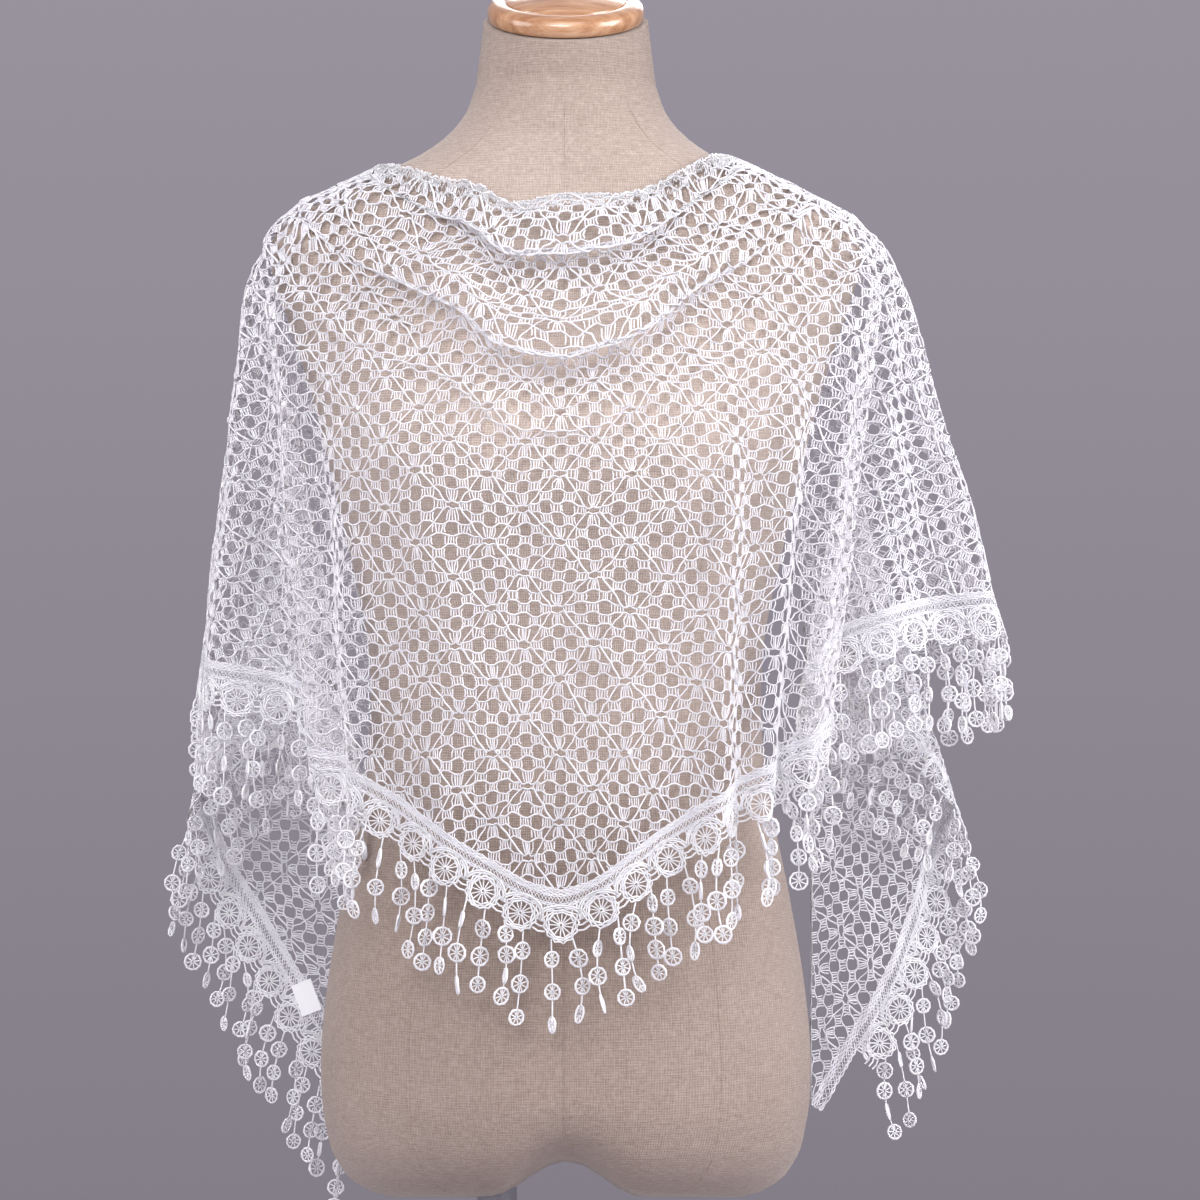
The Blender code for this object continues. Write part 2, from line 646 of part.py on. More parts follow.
def stand(chrome, steel):
    pole_top = TORSO[0][0] * CM - SEAM
    profile = ((0, BASE_HEIGHT + SEAM), (POLE_RADIUS, BASE_HEIGHT + SEAM), (POLE_RADIUS, pole_top),
               (0, pole_top))
    turned("stand_pole", profile, chrome, POLE_SIDES, Vector((POLE_X, 0, 0)))
    profile = ((0, 0), (BASE_RADIUS - RIM, 0), (BASE_RADIUS, RIM), (BASE_RADIUS, BASE_HEIGHT - RIM),
               (BASE_RADIUS - RIM, BASE_HEIGHT), (0, BASE_HEIGHT))
    turned("stand_base", profile, steel, BASE_SIDES, Vector((POLE_X, 0, 0)))


def neck_cap(wood):
    """Turned cap: a rounded rim, a groove and a shallow dome, tilted with the neck."""
    profile = [(CAP_RADIUS - inward, z) for inward, z in CAP_PROFILE]
    axis = Matrix.Rotation(NECK_TILT, 3, "X") @ Vector((0, 0, 1))
    turned("neck_cap", profile, wood, CAP_SIDES, NECK_TOP + axis * SEAM, NECK_TILT)


def main():
    for old in list(bpy.data.objects):
        bpy.data.objects.remove(old, do_unlink=True)
    form_torso(material("linen", 0.85))
    neck_cap(material("turned_wood", 0.3))
    stand(material("chrome", 0.12, 1.0), material("brushed_steel", 0.35, 1.0))
    for name, first, last in STRETCHES:
        columns = hem_places(MEDALLION_PITCH, first * CM, last * CM)
        columns[0] += SEAM
        columns[-1] -= SEAM
        lace_stretch(name, columns, material("lace_" + name, 0.75))
        tape_stretch(name, columns, material("tape_" + name, 0.7))
        trim_stretch(name, columns, material("trim_" + name, 0.6))
        fringe_stretch(name, columns, material("fringe_" + name, 0.6))
    care_label(material("label_cloth", 0.6))


main()
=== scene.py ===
"""Looks of a net lace shawl with a wheel trim and a drop fringe, worn on a limbless dress form.

The net, tape, wheels and fringe are drawn as threads in the flat cut of the shawl, then laid on the
same draped surface that the solids follow, with finer folds, and those on the chest a little
higher. Metres, +Z up, viewer in front at -Y.
"""
import math
import random

import bmesh
import bpy
import numpy as np
from mathutils import Matrix, Vector
from mathutils.kdtree import KDTree


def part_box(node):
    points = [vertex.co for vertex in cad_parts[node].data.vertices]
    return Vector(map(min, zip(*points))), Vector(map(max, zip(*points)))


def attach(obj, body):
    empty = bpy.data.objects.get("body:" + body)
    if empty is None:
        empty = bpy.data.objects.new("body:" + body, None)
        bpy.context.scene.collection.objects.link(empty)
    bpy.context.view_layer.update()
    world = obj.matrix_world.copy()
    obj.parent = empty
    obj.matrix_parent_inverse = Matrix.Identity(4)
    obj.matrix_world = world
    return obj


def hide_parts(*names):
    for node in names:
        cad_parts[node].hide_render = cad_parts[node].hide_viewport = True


CM = 0.01
MM = 0.001

# Camera: what it looks at, how far away it stands and how much it sees there
LOOKS_AT = Vector((0.0227, 0.0, 0.658))
DISTANCE = 2.55
SEES = 0.80
SENSOR = 36.0

# Grey surroundings: slope of the view at which they are darkest and lightest, and how bright they are
BACKING_FADE = (-0.16, 0.16, 0.74, 1.04)

# Flat cut of the shawl, with its trim and without its fringe
HEM_ANGLE = math.radians(31.8)
FLAT_DEPTH = 0.57
TRIM_WIDTH = 0.034
TRIM_HALF_EDGE = FLAT_DEPTH / math.tan(HEM_ANGLE)

# Drape: least distance from the form's skin, and how round it bends where it leaves the body
CLEARANCE = 0.0043
BEND_RADIUS = 0.045
BEND_SHARE = 0.48

# Long edge of each side: distance along the cloth from the middle, then outward, back and up (cm)
EDGE_COLUMNS = ("s", "x", "y", "z")
EDGE_RIGHT = (
    (4.3, 3.9, -7.6, 92.3),
    (9.3, 7.5, -4.6, 93.9),
    (14.1, 10.6, -1.0, 95.1),
    (20.4, 11.4, 5.0, 93.5),
    (27.0, 12.8, 9.3, 88.5),
    (35.6, 14.8, 11.6, 80.5),
    (50.7, 16.4, 12.2, 65.5),
    (65.7, 16.9, 11.8, 50.5),
    (85.6, 16.9, 11.3, 30.6),
)
EDGE_LEFT = (
    (4.0, 3.9, -7.6, 91.8),
    (6.3, 5.5, -6.6, 93.0),
    (9.4, 8.2, -4.8, 93.5),
    (14.6, 11.9, -1.3, 94.2),
    (21.1, 12.3, 4.9, 92.4),
    (27.6, 12.6, 9.3, 87.5),
    (35.9, 13.0, 11.4, 79.5),
    (50.9, 13.0, 12.3, 64.5),
    (65.9, 12.9, 12.4, 49.5),
    (85.6, 12.8, 12.6, 29.8),
)
EDGE_MIDDLE = (0.0, 0.0, -8.5, 92.1)

# Stations: where the line starts on the long edge (s) and ends on the hem (h), then the bend where
# the cloth leaves the body and the trim's lower edge, each outward, back and up (cm)
STATION_COLUMNS = ("place", "s", "h", "bend_x", "bend_y", "bend_z", "hem_x", "hem_y", "hem_z")
MIDDLE = ("point", 0.0, 0.0, 0.0, -13.9, 74.5, -0.35, -14.0, 44.1)
RIGHT = (
    ("front", 5.0, 7.7, 6.5, -13.9, 75.0, 6.3, -13.6, 48.0),
    ("bust", 9.0, 13.0, 11.5, -12.2, 77.0, 10.7, -12.9, 50.7),
    ("bust side", 11.5, 17.5, 17.0, -8.0, 82.0, 14.0, -11.2, 52.8),
    ("front fold", 12.6, 21.5, 20.8, -4.2, 87.6, 16.8, -9.3, 55.0),
    ("tuck", 13.6, 26.5, 20.8, -2.7, 89.3, 14.8, -6.4, 57.3),
    ("side front", 14.0, 33.0, 21.1, -1.1, 90.2, 18.3, -3.2, 60.8),
    ("side", 14.4, 39.0, 21.6, 0.4, 90.5, 24.2, -1.2, 62.6),
    ("outermost", 15.0, 45.0, 21.7, 2.0, 90.2, 29.4, 0.5, 63.0),
    ("side back", 16.0, 51.0, 21.3, 3.8, 89.3, 28.5, 6.4, 62.3),
    ("back fold", 17.5, 57.0, 20.8, 5.3, 88.0, 25.4, 10.2, 61.2),
    ("back tuck", 19.4, 63.0, 20.0, 7.0, 86.8, 19.8, 8.0, 60.0),
    ("tuck turn", 22.0, 66.5, 19.2, 8.8, 84.8, 19.0, 10.8, 58.6),
    ("tail fold", 26.5, 71.0, 19.2, 10.8, 80.5, 22.2, 12.0, 55.6),
    ("tail top", 34.0, 76.0, 20.2, 12.5, 74.0, 26.0, 13.1, 52.4),
    ("tail turn", 38.5, 79.2, 20.6, 14.2, 70.0, 28.2, 14.8, 49.4),
    ("tail upper", 43.5, 82.4, 18.8, 15.0, 65.6, 27.6, 16.4, 46.5),
    ("tail middle", 55.0, 88.0, 18.9, 13.8, 55.5, 26.2, 15.4, 41.5),
    ("tail lower", 67.0, 94.0, 18.7, 12.5, 45.5, 24.2, 13.4, 36.4),
    ("tail end", 79.0, 100.0, 18.0, 11.9, 35.6, 21.1, 12.5, 31.3),
    ("tip", 85.5, 102.7, 17.9, 11.7, 30.0, 19.8, 12.2, 29.0),
)
LEFT = (
    ("front", 4.5, 6.0, 5.6, -13.9, 74.8, 5.7, -13.7, 46.6),
    ("bust", 8.5, 12.5, 11.0, -12.4, 77.0, 11.0, -12.3, 50.1),
    ("bust side", 11.5, 17.0, 16.0, -8.6, 81.5, 14.2, -9.9, 52.1),
    ("front fold", 12.8, 20.5, 19.8, -4.4, 86.8, 15.7, -7.4, 53.0),
    ("tuck", 13.4, 24.6, 20.0, -2.6, 88.4, 13.4, -4.9, 54.8),
    ("side front", 14.0, 30.5, 20.8, -1.0, 89.4, 18.2, -2.4, 57.2),
    ("outermost", 14.6, 37.0, 21.1, 0.6, 89.7, 24.2, -0.5, 58.4),
    ("side back", 15.4, 43.0, 21.0, 2.3, 89.3, 24.9, 5.4, 59.0),
    ("back fold", 16.4, 48.5, 20.6, 4.0, 88.4, 22.8, 9.4, 58.8),
    ("back tuck", 18.0, 55.5, 20.0, 5.8, 87.3, 16.0, 7.8, 57.2),
    ("tuck turn", 20.0, 59.0, 19.4, 7.6, 85.9, 15.4, 10.6, 56.0),
    ("tail fold", 23.4, 65.0, 18.9, 9.8, 83.4, 20.6, 12.4, 55.4),
    ("tail bend", 28.0, 70.0, 18.8, 11.6, 79.8, 24.5, 13.4, 53.2),
    ("tail turn", 33.0, 74.4, 18.4, 13.4, 75.2, 26.9, 15.0, 50.4),
    ("tail top", 38.0, 78.2, 17.0, 14.4, 71.0, 26.9, 16.8, 47.6),
    ("tail upper", 45.0, 82.5, 16.4, 14.8, 65.0, 25.8, 16.4, 44.4),
    ("tail middle", 56.0, 89.0, 15.8, 13.8, 53.5, 22.9, 14.8, 39.8),
    ("tail lower", 68.0, 95.0, 14.8, 12.9, 42.3, 19.8, 13.3, 34.7),
    ("tail end", 79.0, 100.0, 14.0, 12.8, 34.0, 17.0, 12.9, 30.5),
    ("tip", 85.5, 102.7, 13.8, 12.7, 29.0, 15.7, 12.8, 28.2),
)

# Cowl folds across the chest: distance from the neck edge at the middle and what it loses toward
# the shoulders, the height of the fold, its half width, how far out along the edge it reaches and
# how far it sags for its height (m and shares). A sharp fold that sags far laps over itself.
FOLD_COLUMNS = ("depth", "rise", "height", "half_width", "reach", "sag")
COWL_FOLDS = (
    (0.010, 0.004, -0.005, 0.009, 0.160, 0.3),
    (0.022, 0.020, 0.014, 0.018, 0.160, 0.5),
    (0.025, 0.021, 0.010, 0.009, 0.170, 1.2),
    (0.054, 0.034, -0.005, 0.012, 0.170, 0.3),
    (0.093, 0.056, 0.018, 0.028, 0.175, 0.4),
    (0.096, 0.058, 0.010, 0.009, 0.200, 1.2),
    (0.076, 0.046, 0.005, 0.009, 0.190, 0.8),
    (0.134, 0.062, -0.004, 0.012, 0.190, 0.3),
    (0.158, 0.064, 0.006, 0.011, 0.190, 0.9),
)
FOLD_LINE_POWER = 0.95
FOLD_FADE_POWER = 3
FOLD_STEEPNESS = 1.6

# Fine creases that run down the cloth: place along the hem, half width, height out of the cloth,
# and the shares of the drop where they start and are full (cm and shares)
CREASE_COLUMNS = ("h", "half_width", "height", "starts", "full")
CREASES = (
    (-19.2, 0.8, 0.90, 0.25, 0.65),
    (-17.4, 0.8, -0.70, 0.25, 0.70),
    (-15.4, 0.9, 0.60, 0.35, 0.80),
    (-12.0, 1.4, -0.40, 0.45, 0.90),
    (-8.0, 2.2, 0.35, 0.40, 0.80),
    (-2.0, 2.0, -0.25, 0.30, 0.80),
    (4.0, 2.2, 0.35, 0.35, 0.80),
    (8.8, 1.6, -0.40, 0.35, 0.80),
    (11.8, 0.9, 0.80, 0.25, 0.60),
    (13.6, 0.8, -0.70, 0.25, 0.60),
    (15.4, 0.8, 0.90, 0.20, 0.55),
    (17.2, 0.8, -0.80, 0.20, 0.55),
    (19.0, 0.8, 0.90, 0.20, 0.55),
    (29.0, 1.3, 0.70, 0.25, 0.80),
    (32.5, 1.2, -0.60, 0.25, 0.80),
    (36.0, 1.3, 0.70, 0.25, 0.80),
    (39.5, 1.2, -0.60, 0.25, 0.80),
    (43.5, 1.4, 0.60, 0.25, 0.80),
    (48.0, 1.5, -0.60, 0.30, 0.80),
    (53.0, 1.6, 0.60, 0.30, 0.80),
    (-27.5, 1.3, 0.60, 0.25, 0.80),
    (-31.0, 1.3, -0.60, 0.25, 0.80),
    (-35.0, 1.4, 0.60, 0.25, 0.80),
    (-39.5, 1.5, -0.50, 0.30, 0.80),
    (-44.0, 1.5, 0.50, 0.30, 0.80),
)
RIPPLE = 0.0012

# Laying the drape out flat: fine steps in a coarse one, rounds of settling and the largest miss
COARSE = 10
FLATTEN_ROUNDS = 160
LARGEST_MISS = 0.001

# Stretches of the shawl: name, where each starts and ends along the hem (cm), how thick its yarn is
STRETCHES = (
    ("tail_left", -102.7, -48.5, 0.92),
    ("side_left", -48.5, -20.5, 1.29),
    ("front", -20.5, 21.5, 1.04),
    ("side_right", 21.5, 57.0, 1.28),
    ("tail_right", 57.0, 102.7, 0.82),
)

# Body of the form: height, half width, front depth, back depth (cm)
TORSO_COLUMNS = ("z", "half_width", "front", "back")
TORSO = (
    (26.0, 12.2, 7.4, 8.8),
    (26.8, 13.8, 8.8, 10.4),
    (28.4, 15.2, 10.0, 11.8),
    (31.0, 16.0, 10.8, 12.4),
    (35.0, 16.3, 11.1, 12.3),
    (40.0, 15.9, 11.0, 11.5),
    (46.0, 14.9, 10.6, 10.2),
    (52.0, 13.7, 10.0, 9.2),
    (58.0, 13.0, 9.4, 8.7),
    (63.0, 13.2, 9.4, 8.8),
    (69.0, 14.4, 10.6, 9.3),
    (75.0, 15.8, 11.9, 9.9),
    (80.0, 17.1, 10.6, 10.0),
    (85.0, 18.7, 9.0, 9.4),
    (88.0, 19.6, 7.9, 8.6),
    (90.0, 19.4, 7.2, 7.9),
    (91.4, 17.9, 6.9, 7.3),
    (92.8, 15.2, 6.8, 6.9),
    (94.1, 12.4, 6.7, 6.6),
    (95.2, 10.0, 6.5, 6.4),
    (96.4, 8.2, 6.2, 6.2),
    (97.8, 6.9, 6.1, 6.1),
    (100.0, 6.0, 5.8, 5.8),
)
TORSO_POWER = 2.2
BUST_X = 0.082
BUST_Z = 0.755
BUST_LIFT = 0.016
BUST_SPREAD = 0.055
NECK_TILT = math.radians(22)
NECK_TOP = Vector((0, -0.012, 1.042))
NECK_RADIUS = 0.0545
POLE_X = -0.046

# Underside of the form: over what height its rise fades, its arch in the middle and its rise in front
UNDERSIDE_FADE = 0.08
ARCH_HEIGHT = 0.024
ARCH_HALF = 0.052
FRONT_RISE = 0.016
FRONT_DEPTH = 0.085

# Cover: headings of its seams, how deep they lie and their size, then the height round which the net
# lies over it, where painted light lightens the cover against the net's shadow, and how steeply that ends
SEAM_HEADINGS = (-90, -127, -53, 178, 2, 90, 130, 50)
SEAM_HEIGHTS = (0.262, 0.985)
SEAM_INSET = 0.9990
SEAM_RADIUS = 0.40 * MM
PAINTED_LIGHT_HEIGHT = 0.74
PAINTED_LIGHT_STEEPNESS = 3.85

# Net: width of a column, height of a half row, how far its threads wave, how often the flower comes
# back and half the height of its eyelet. Where its flat tops end and how they dip at a flower, where
# its bars and spokes stand and how they gather are shares of a column or a half row.
COLUMN = 0.0078
HALF_ROW = 0.0068
WAVE = 0.0011
REPEAT = 6
EYELET = 0.0025
FLAT_TOP = 0.26
FLOWER_TOP = 0.36
FLOWER_DIP = 0.6
BARS = (-0.48, -0.24, 0.0, 0.24, 0.48)
BAR_WAIST = 0.92
GATHERED = 0.5
SPOKE_FROM = (0.5, 0.13)
SPOKE_FALLS_SHORT = (1.0, 0.26)

# How the net hangs: from what depth and over what depth it grows narrower and longer, and how uneven
# it is in large and in small
HANGS_FROM = 0.12
HANGS_OVER = 0.30
NARROWS = 0.09
LENGTHENS = 0.05
UNEVEN = 0.0018
JITTER = 0.0006

# Yarn of the net: radii, how much thicker at which depth, how far the spokes lie above the rest, how
# far the net goes under the tape and how deep light enters
NET_RADIUS = 0.00056
BAR_RADIUS = 0.00041
SPOKE_RADIUS = 0.00056
THICKER_AT_TOP = ((0.03, 0.20), (1.30, 0.98))
SPOKE_LIFT = 0.00035
JOIN = 0.0015
YARN_DEPTH = 0.0012

# Frilled long edge: step along it, then where each of its threads lies and swings (shares)
EDGE_STEP = 0.0022
EDGE_THREADS = ((0.0, 0.002), (0.001, 0.006), (0.008, -0.005), (0.010, 0.004))

# Tape: step of its weave, how far down from its upper edge its cords and its row of eyelets lie, and
# how far its cords swing
TAPE_STEP = 0.0024
TAPE_CORDS = (0.0002, 0.0012, 0.0022, 0.0032, 0.0042, 0.0090, 0.0101)
TAPE_EYELETS = 0.0066
EYELET_HEIGHT = 0.0019
CORD_SWING = 0.25 * MM

# Trim: spacing of its wheels, their radius, spokes and height above the lower edge, then the rings of
# a wheel: size, corners, how far they wobble (shares) and their yarn (mm). Between two wheels lie bars
# at these heights, and above each wheel arcs of these sizes under a row of uprights.
MEDALLION_PITCH = 0.028
WHEEL_RADIUS = 0.0112
WHEEL_SPOKES = 14
WHEEL_HEIGHT = 0.0118
WHEEL_RINGS = ((0.12, 6, 0.0, 0.6), (0.72, 18, 0.03, 0.62), (0.84, 22, 0.03, 0.62),
               (0.97, 26, 0.06, 0.62))
LINK_HEIGHTS = (-5.0 * MM, -1.5 * MM, 2.0 * MM)
LINK_HALF = 4.2 * MM
LINK_SAG = 1.0 * MM
ARC_SIZES = (1.08, 1.20)
UPRIGHT_TOP = 12.6 * MM
UPRIGHTS = 13

# Fringe: how far aside of a wheel's middle its two strands start, their length, how deep the first of
# their three or four small wheels lies, how far they lean out and swing, how many end in a leaf and how
# slender that is, and the radius of a small wheel
STRAND_ASIDE = 0.0068
STRAND_LENGTH = 0.062
FIRST_DISC = {3: 0.013, 4: 0.009}
STRAND_LEAN = 0.22
STRAND_SWING = (0.02, 0.24)
LEAF_SHARE = 0.3
LEAF_WIDTH = 0.45
DISC_RADIUS = 0.0055

# Yarn radii of the tape, trim and fringe
RIM_YARN = 0.80 * MM
ARC_YARN = 0.64 * MM
TAPE_YARN = 0.62 * MM
LACING_YARN = 0.55 * MM
UPRIGHT_YARN = 0.46 * MM
FINE_YARN = 0.42 * MM

# Sequins: share of the flowers that has one, radius, and the columns and half rows they lie on
SEQUIN_SHARE = 0.09
SEQUIN_RADIUS = 0.0011
SEQUIN_COLUMNS = 105
SEQUIN_ROWS = (2, 74)


def named(columns, rows):
    """The table as one array for each named column."""
    return {name: np.array([row[i] for row in rows]) for i, name in enumerate(columns)}


def through(xs, ys, x):
    """Smooth curve through points at uneven spacing, evaluated at x."""
    slopes = np.diff(ys, axis=0) / np.diff(xs)[:, None]
    widths = np.diff(xs)[:, None]
    inner = (slopes[:-1] * widths[1:] + slopes[1:] * widths[:-1]) / (widths[1:] + widths[:-1])
    tangents = np.vstack([slopes[:1], inner, slopes[-1:]])
    x = np.clip(x, xs[0], xs[-1])
    i = np.clip(np.searchsorted(xs, x, side="right") - 1, 0, len(xs) - 2)
    step = (xs[i + 1] - xs[i])[:, None]
    f = ((x - xs[i]) / (xs[i + 1] - xs[i]))[:, None]
    start = (1 + 2 * f) * (1 - f) ** 2 * ys[i] + f * (1 - f) ** 2 * step * tangents[i]
    end = f * f * (3 - 2 * f) * ys[i + 1] - f * f * (1 - f) * step * tangents[i + 1]
    return start + end


def both_sides(left, middle, right, mirrored):
    """Rows of the left side, turned round and mirrored, then the middle and the right side."""
    turned = []
    for row in reversed(left):
        turned.append(tuple(-v if i in mirrored else v for i, v in enumerate(row)))
    return turned + [middle] + list(right)


EDGE = named(EDGE_COLUMNS, both_sides(EDGE_LEFT, EDGE_MIDDLE, EDGE_RIGHT, (0, 1)))
STATION = named(STATION_COLUMNS, both_sides(LEFT, MIDDLE, RIGHT, (1, 2, 3, 6)))
BODY = named(TORSO_COLUMNS, TORSO)


def columns_of(table, names):
    return np.column_stack([table[name] for name in names]) * CM


# The form's skin

def torso_section(z):
    """Half width, front depth and back depth of the form at each height."""
    return through(BODY["z"] * CM, columns_of(BODY, ("half_width", "front", "back")), z)


def bust(x, z):
    """How far the two rounds of the bust stand out in front of the plain section."""
    return BUST_LIFT * np.exp(-((z - BUST_Z) ** 2 + (np.abs(x) - BUST_X) ** 2) / (2 * BUST_SPREAD ** 2))


def torso_level(p):
    """1 on the form's skin, less inside and more outside."""
    size = torso_section(p[:, 2])
    depth = np.where(p[:, 1] < 0, size[:, 1] + bust(p[:, 0], p[:, 2]), size[:, 2])
    wide = (np.abs(p[:, 0]) / size[:, 0]) ** TORSO_POWER
    deep = (np.abs(p[:, 1]) / depth) ** TORSO_POWER
    return (wide + deep) ** (1 / TORSO_POWER)


def clear_of_form(p, clearance, rounds=5):
    """Move the points that lie too near the form straight out from its skin."""
    step = 0.001
    for _ in range(rounds):
        level = torso_level(p)
        slope = np.column_stack([
            (torso_level(p + axis * step) - level) / step for axis in np.eye(3)
        ])
        size = np.linalg.norm(slope, axis=1)
        short = clearance - (level - 1) / size
        p = p + np.clip(short, 0, 0.02)[:, None] * slope / size[:, None]
    return p


# The draped surface: h runs along the hem, v from the long edge to the trim's lower edge

def edge_start(h):
    """Distance along the long edge where the station that ends at h on the hem starts."""
    return through(STATION["h"] * CM, columns_of(STATION, ("s",)), h)[:, 0]


def cowl(s, reached):
    """Height and sag of the cowl folds at a distance from the neck edge."""
    height, sag = np.zeros_like(s), np.zeros_like(s)
    for row in COWL_FOLDS:
        fold = dict(zip(FOLD_COLUMNS, row))
        out = np.clip(np.abs(s) / fold["reach"], 0, 1)
        line = fold["depth"] - fold["rise"] * out ** FOLD_LINE_POWER
        swell = np.exp(-((reached - line) / fold["half_width"]) ** 2 * FOLD_STEEPNESS)
        here = fold["height"] * swell * (1 - out ** FOLD_FADE_POWER)
        height += here
        sag += here * fold["sag"]
    return height, sag


def plain_drape(h, v):
    """Places of the cloth before its fine creases."""
    ends = STATION["h"] * CM
    s = edge_start(h)
    start = through(EDGE["s"] * CM, columns_of(EDGE, ("x", "y", "z")), s)
    bend = through(ends, columns_of(STATION, ("bend_x", "bend_y", "bend_z")), h)
    hem = through(ends, columns_of(STATION, ("hem_x", "hem_y", "hem_z")), h)
    upper = np.linalg.norm(bend - start, axis=1)
    lower = np.linalg.norm(hem - bend, axis=1)
    first = (bend - start) / upper[:, None]
    second = (hem - bend) / lower[:, None]
    reached = v * (upper + lower)
    r = np.minimum(BEND_RADIUS, BEND_SHARE * np.minimum(upper, lower))
    f = np.clip((reached - upper + r) / (2 * r), 0, 1)[:, None]
    leg = r[:, None]
    rounded = (bend - first * leg) * (1 - f) ** 2 + 2 * bend * f * (1 - f)
    rounded = rounded + (bend + second * leg) * f ** 2
    path = np.where((reached < upper - r)[:, None], start + first * reached[:, None], rounded)
    path = np.where((reached > upper + r)[:, None], bend + second * (reached - upper)[:, None], path)
    out, sag = cowl(s, reached)
    path = path + np.column_stack([np.zeros_like(h), -out, -sag])
    return clear_of_form(path, CLEARANCE)


class Drape:
    """The finished surface of the cloth on a fine grid, read at any place of the flat cut."""

    def __init__(self):
        self.last = STATION["h"][-1] * CM
        self.h = np.linspace(-self.last, self.last, 781)
        self.v = np.linspace(0, 1, 231)
        self.start = edge_start(self.h)
        h, v = np.meshgrid(self.h, self.v, indexing="ij")
        points = plain_drape(h.ravel(), v.ravel()).reshape(h.shape + (3,))
        lift = self.creases(h, v)[:, :, None]
        points = points + self.outward(points) * lift
        self.points = clear_of_form(points.reshape(-1, 3), CLEARANCE, 3).reshape(points.shape)
        self.normals = self.outward(self.points)
        self.flat = self.flattened()

    @staticmethod
    def outward(points):
        across = np.gradient(points, axis=0)
        down = np.gradient(points, axis=1)
        out = np.cross(down, across)
        return out / np.linalg.norm(out, axis=2)[:, :, None]

    @staticmethod
    def creases(h, v):
        """Height of the fine creases and of a slight ripple."""
        lift = np.zeros_like(h)
        for row in CREASES:
            crease = dict(zip(CREASE_COLUMNS, row))
            grown = np.clip((v - crease["starts"]) / (crease["full"] - crease["starts"]), 0, 1)
            grown = grown * grown * (3 - 2 * grown)
            swell = np.exp(-((h - crease["h"] * CM) / (crease["half_width"] * CM)) ** 2)
            lift += crease["height"] * CM * swell * grown
        ripple = np.sin(h * 61 + 3 * v) * np.sin(v * 17 + h * 9) + np.sin(h * 113 - v * 23) * 0.6
        return lift + RIPPLE * ripple * np.clip(v * 4, 0, 1)

    def at(self, h, v, lift=0.0):
        """Points on the surface, lifted out of it."""
        i = np.clip((h + self.last) / (2 * self.last) * (len(self.h) - 1), 0, len(self.h) - 1.001)
        j = np.clip(v * (len(self.v) - 1), 0, len(self.v) - 1.001)
        i0, j0 = i.astype(int), j.astype(int)
        fi, fj = (i - i0)[:, None], (j - j0)[:, None]
        made = []
        for grid in (self.points, self.normals):
            near = grid[i0, j0] * (1 - fj) + grid[i0, j0 + 1] * fj
            far = grid[i0 + 1, j0] * (1 - fj) + grid[i0 + 1, j0 + 1] * fj
            made.append(near * (1 - fi) + far * fi)
        return made[0] + made[1] * np.broadcast_to(lift, h.shape)[:, None]

    def flattened(self):
        """Places of the grid when the drape is laid out flat with as little stretch as can be."""
        columns, rows = (len(self.h) - 1) // COARSE, (len(self.v) - 1) // COARSE
        along = np.linalg.norm(np.diff(self.points, axis=0), axis=2)
        along = along.reshape(columns, COARSE, -1).sum(axis=1)[:, ::COARSE]
        down = np.linalg.norm(np.diff(self.points, axis=1), axis=2)
        down = down.reshape(-1, rows, COARSE).sum(axis=2)[::COARSE]
        h_way, v_way = np.gradient(self.points, axis=0), np.gradient(self.points, axis=1)
        slant = (h_way * v_way).sum(axis=2)
        slant /= np.linalg.norm(h_way, axis=2) * np.linalg.norm(v_way, axis=2)
        slant = slant[COARSE // 2::COARSE, COARSE // 2::COARSE]
        a = (along[:, :-1] + along[:, 1:]) / 2
        b = (down[:-1] + down[1:]) / 2
        number = np.arange((columns + 1) * (rows + 1)).reshape(columns + 1, rows + 1)
        links = (
            (number[:-1], number[1:], along, 1.0),
            (number[:, :-1], number[:, 1:], down, 1.0),
            (number[:-1, :-1], number[1:, 1:], np.sqrt(a * a + b * b + 2 * a * b * slant), 0.5),
            (number[:-1, 1:], number[1:, :-1], np.sqrt(a * a + b * b - 2 * a * b * slant), 0.5),
        )
        first, second, length = (np.concatenate([link[k].ravel() for link in links]) for k in range(3))
        weight = np.concatenate([np.full(link[2].size, link[3]) for link in links])
        stiffness = np.zeros((number.size, number.size))
        np.add.at(stiffness, (first, first), weight)
        np.add.at(stiffness, (second, second), weight)
        np.add.at(stiffness, (first, second), -weight)
        np.add.at(stiffness, (second, first), -weight)
        middle = number[columns // 2, 0]
        stiffness[middle, middle] += 1
        settle = np.linalg.inv(stiffness)
        h, v = np.meshgrid(self.h[::COARSE], self.v[::COARSE], indexing="ij")
        s = edge_start(h.ravel()) * (1 - v.ravel()) + math.cos(HEM_ANGLE) * h.ravel() * v.ravel()
        t = v.ravel() * (FLAT_DEPTH - math.sin(HEM_ANGLE) * np.abs(h.ravel()))
        places = np.column_stack([s, t])
        for _ in range(FLATTEN_ROUNDS):
            apart = places[first] - places[second]
            apart *= (weight * length / np.maximum(np.linalg.norm(apart, axis=1), 1e-9))[:, None]
            pull = np.zeros_like(places)
            np.add.at(pull, first, apart)
            np.add.at(pull, second, -apart)
            places = settle @ pull
        drop = places[number[columns // 2, rows]] - places[middle]
        turn = math.atan2(drop[0], drop[1])
        spin = np.array([[math.cos(turn), math.sin(turn)], [-math.sin(turn), math.cos(turn)]])
        places = ((places - places[middle]) @ spin).reshape(columns + 1, rows + 1, 2)
        fine = through(self.h[::COARSE], places.reshape(columns + 1, -1), self.h)
        fine = fine.reshape(len(self.h), rows + 1, 2).transpose(1, 0, 2)
        fine = through(self.v[::COARSE], fine.reshape(rows + 1, -1), self.v)
        return fine.reshape(len(self.v), len(self.h), 2).transpose(1, 0, 2)

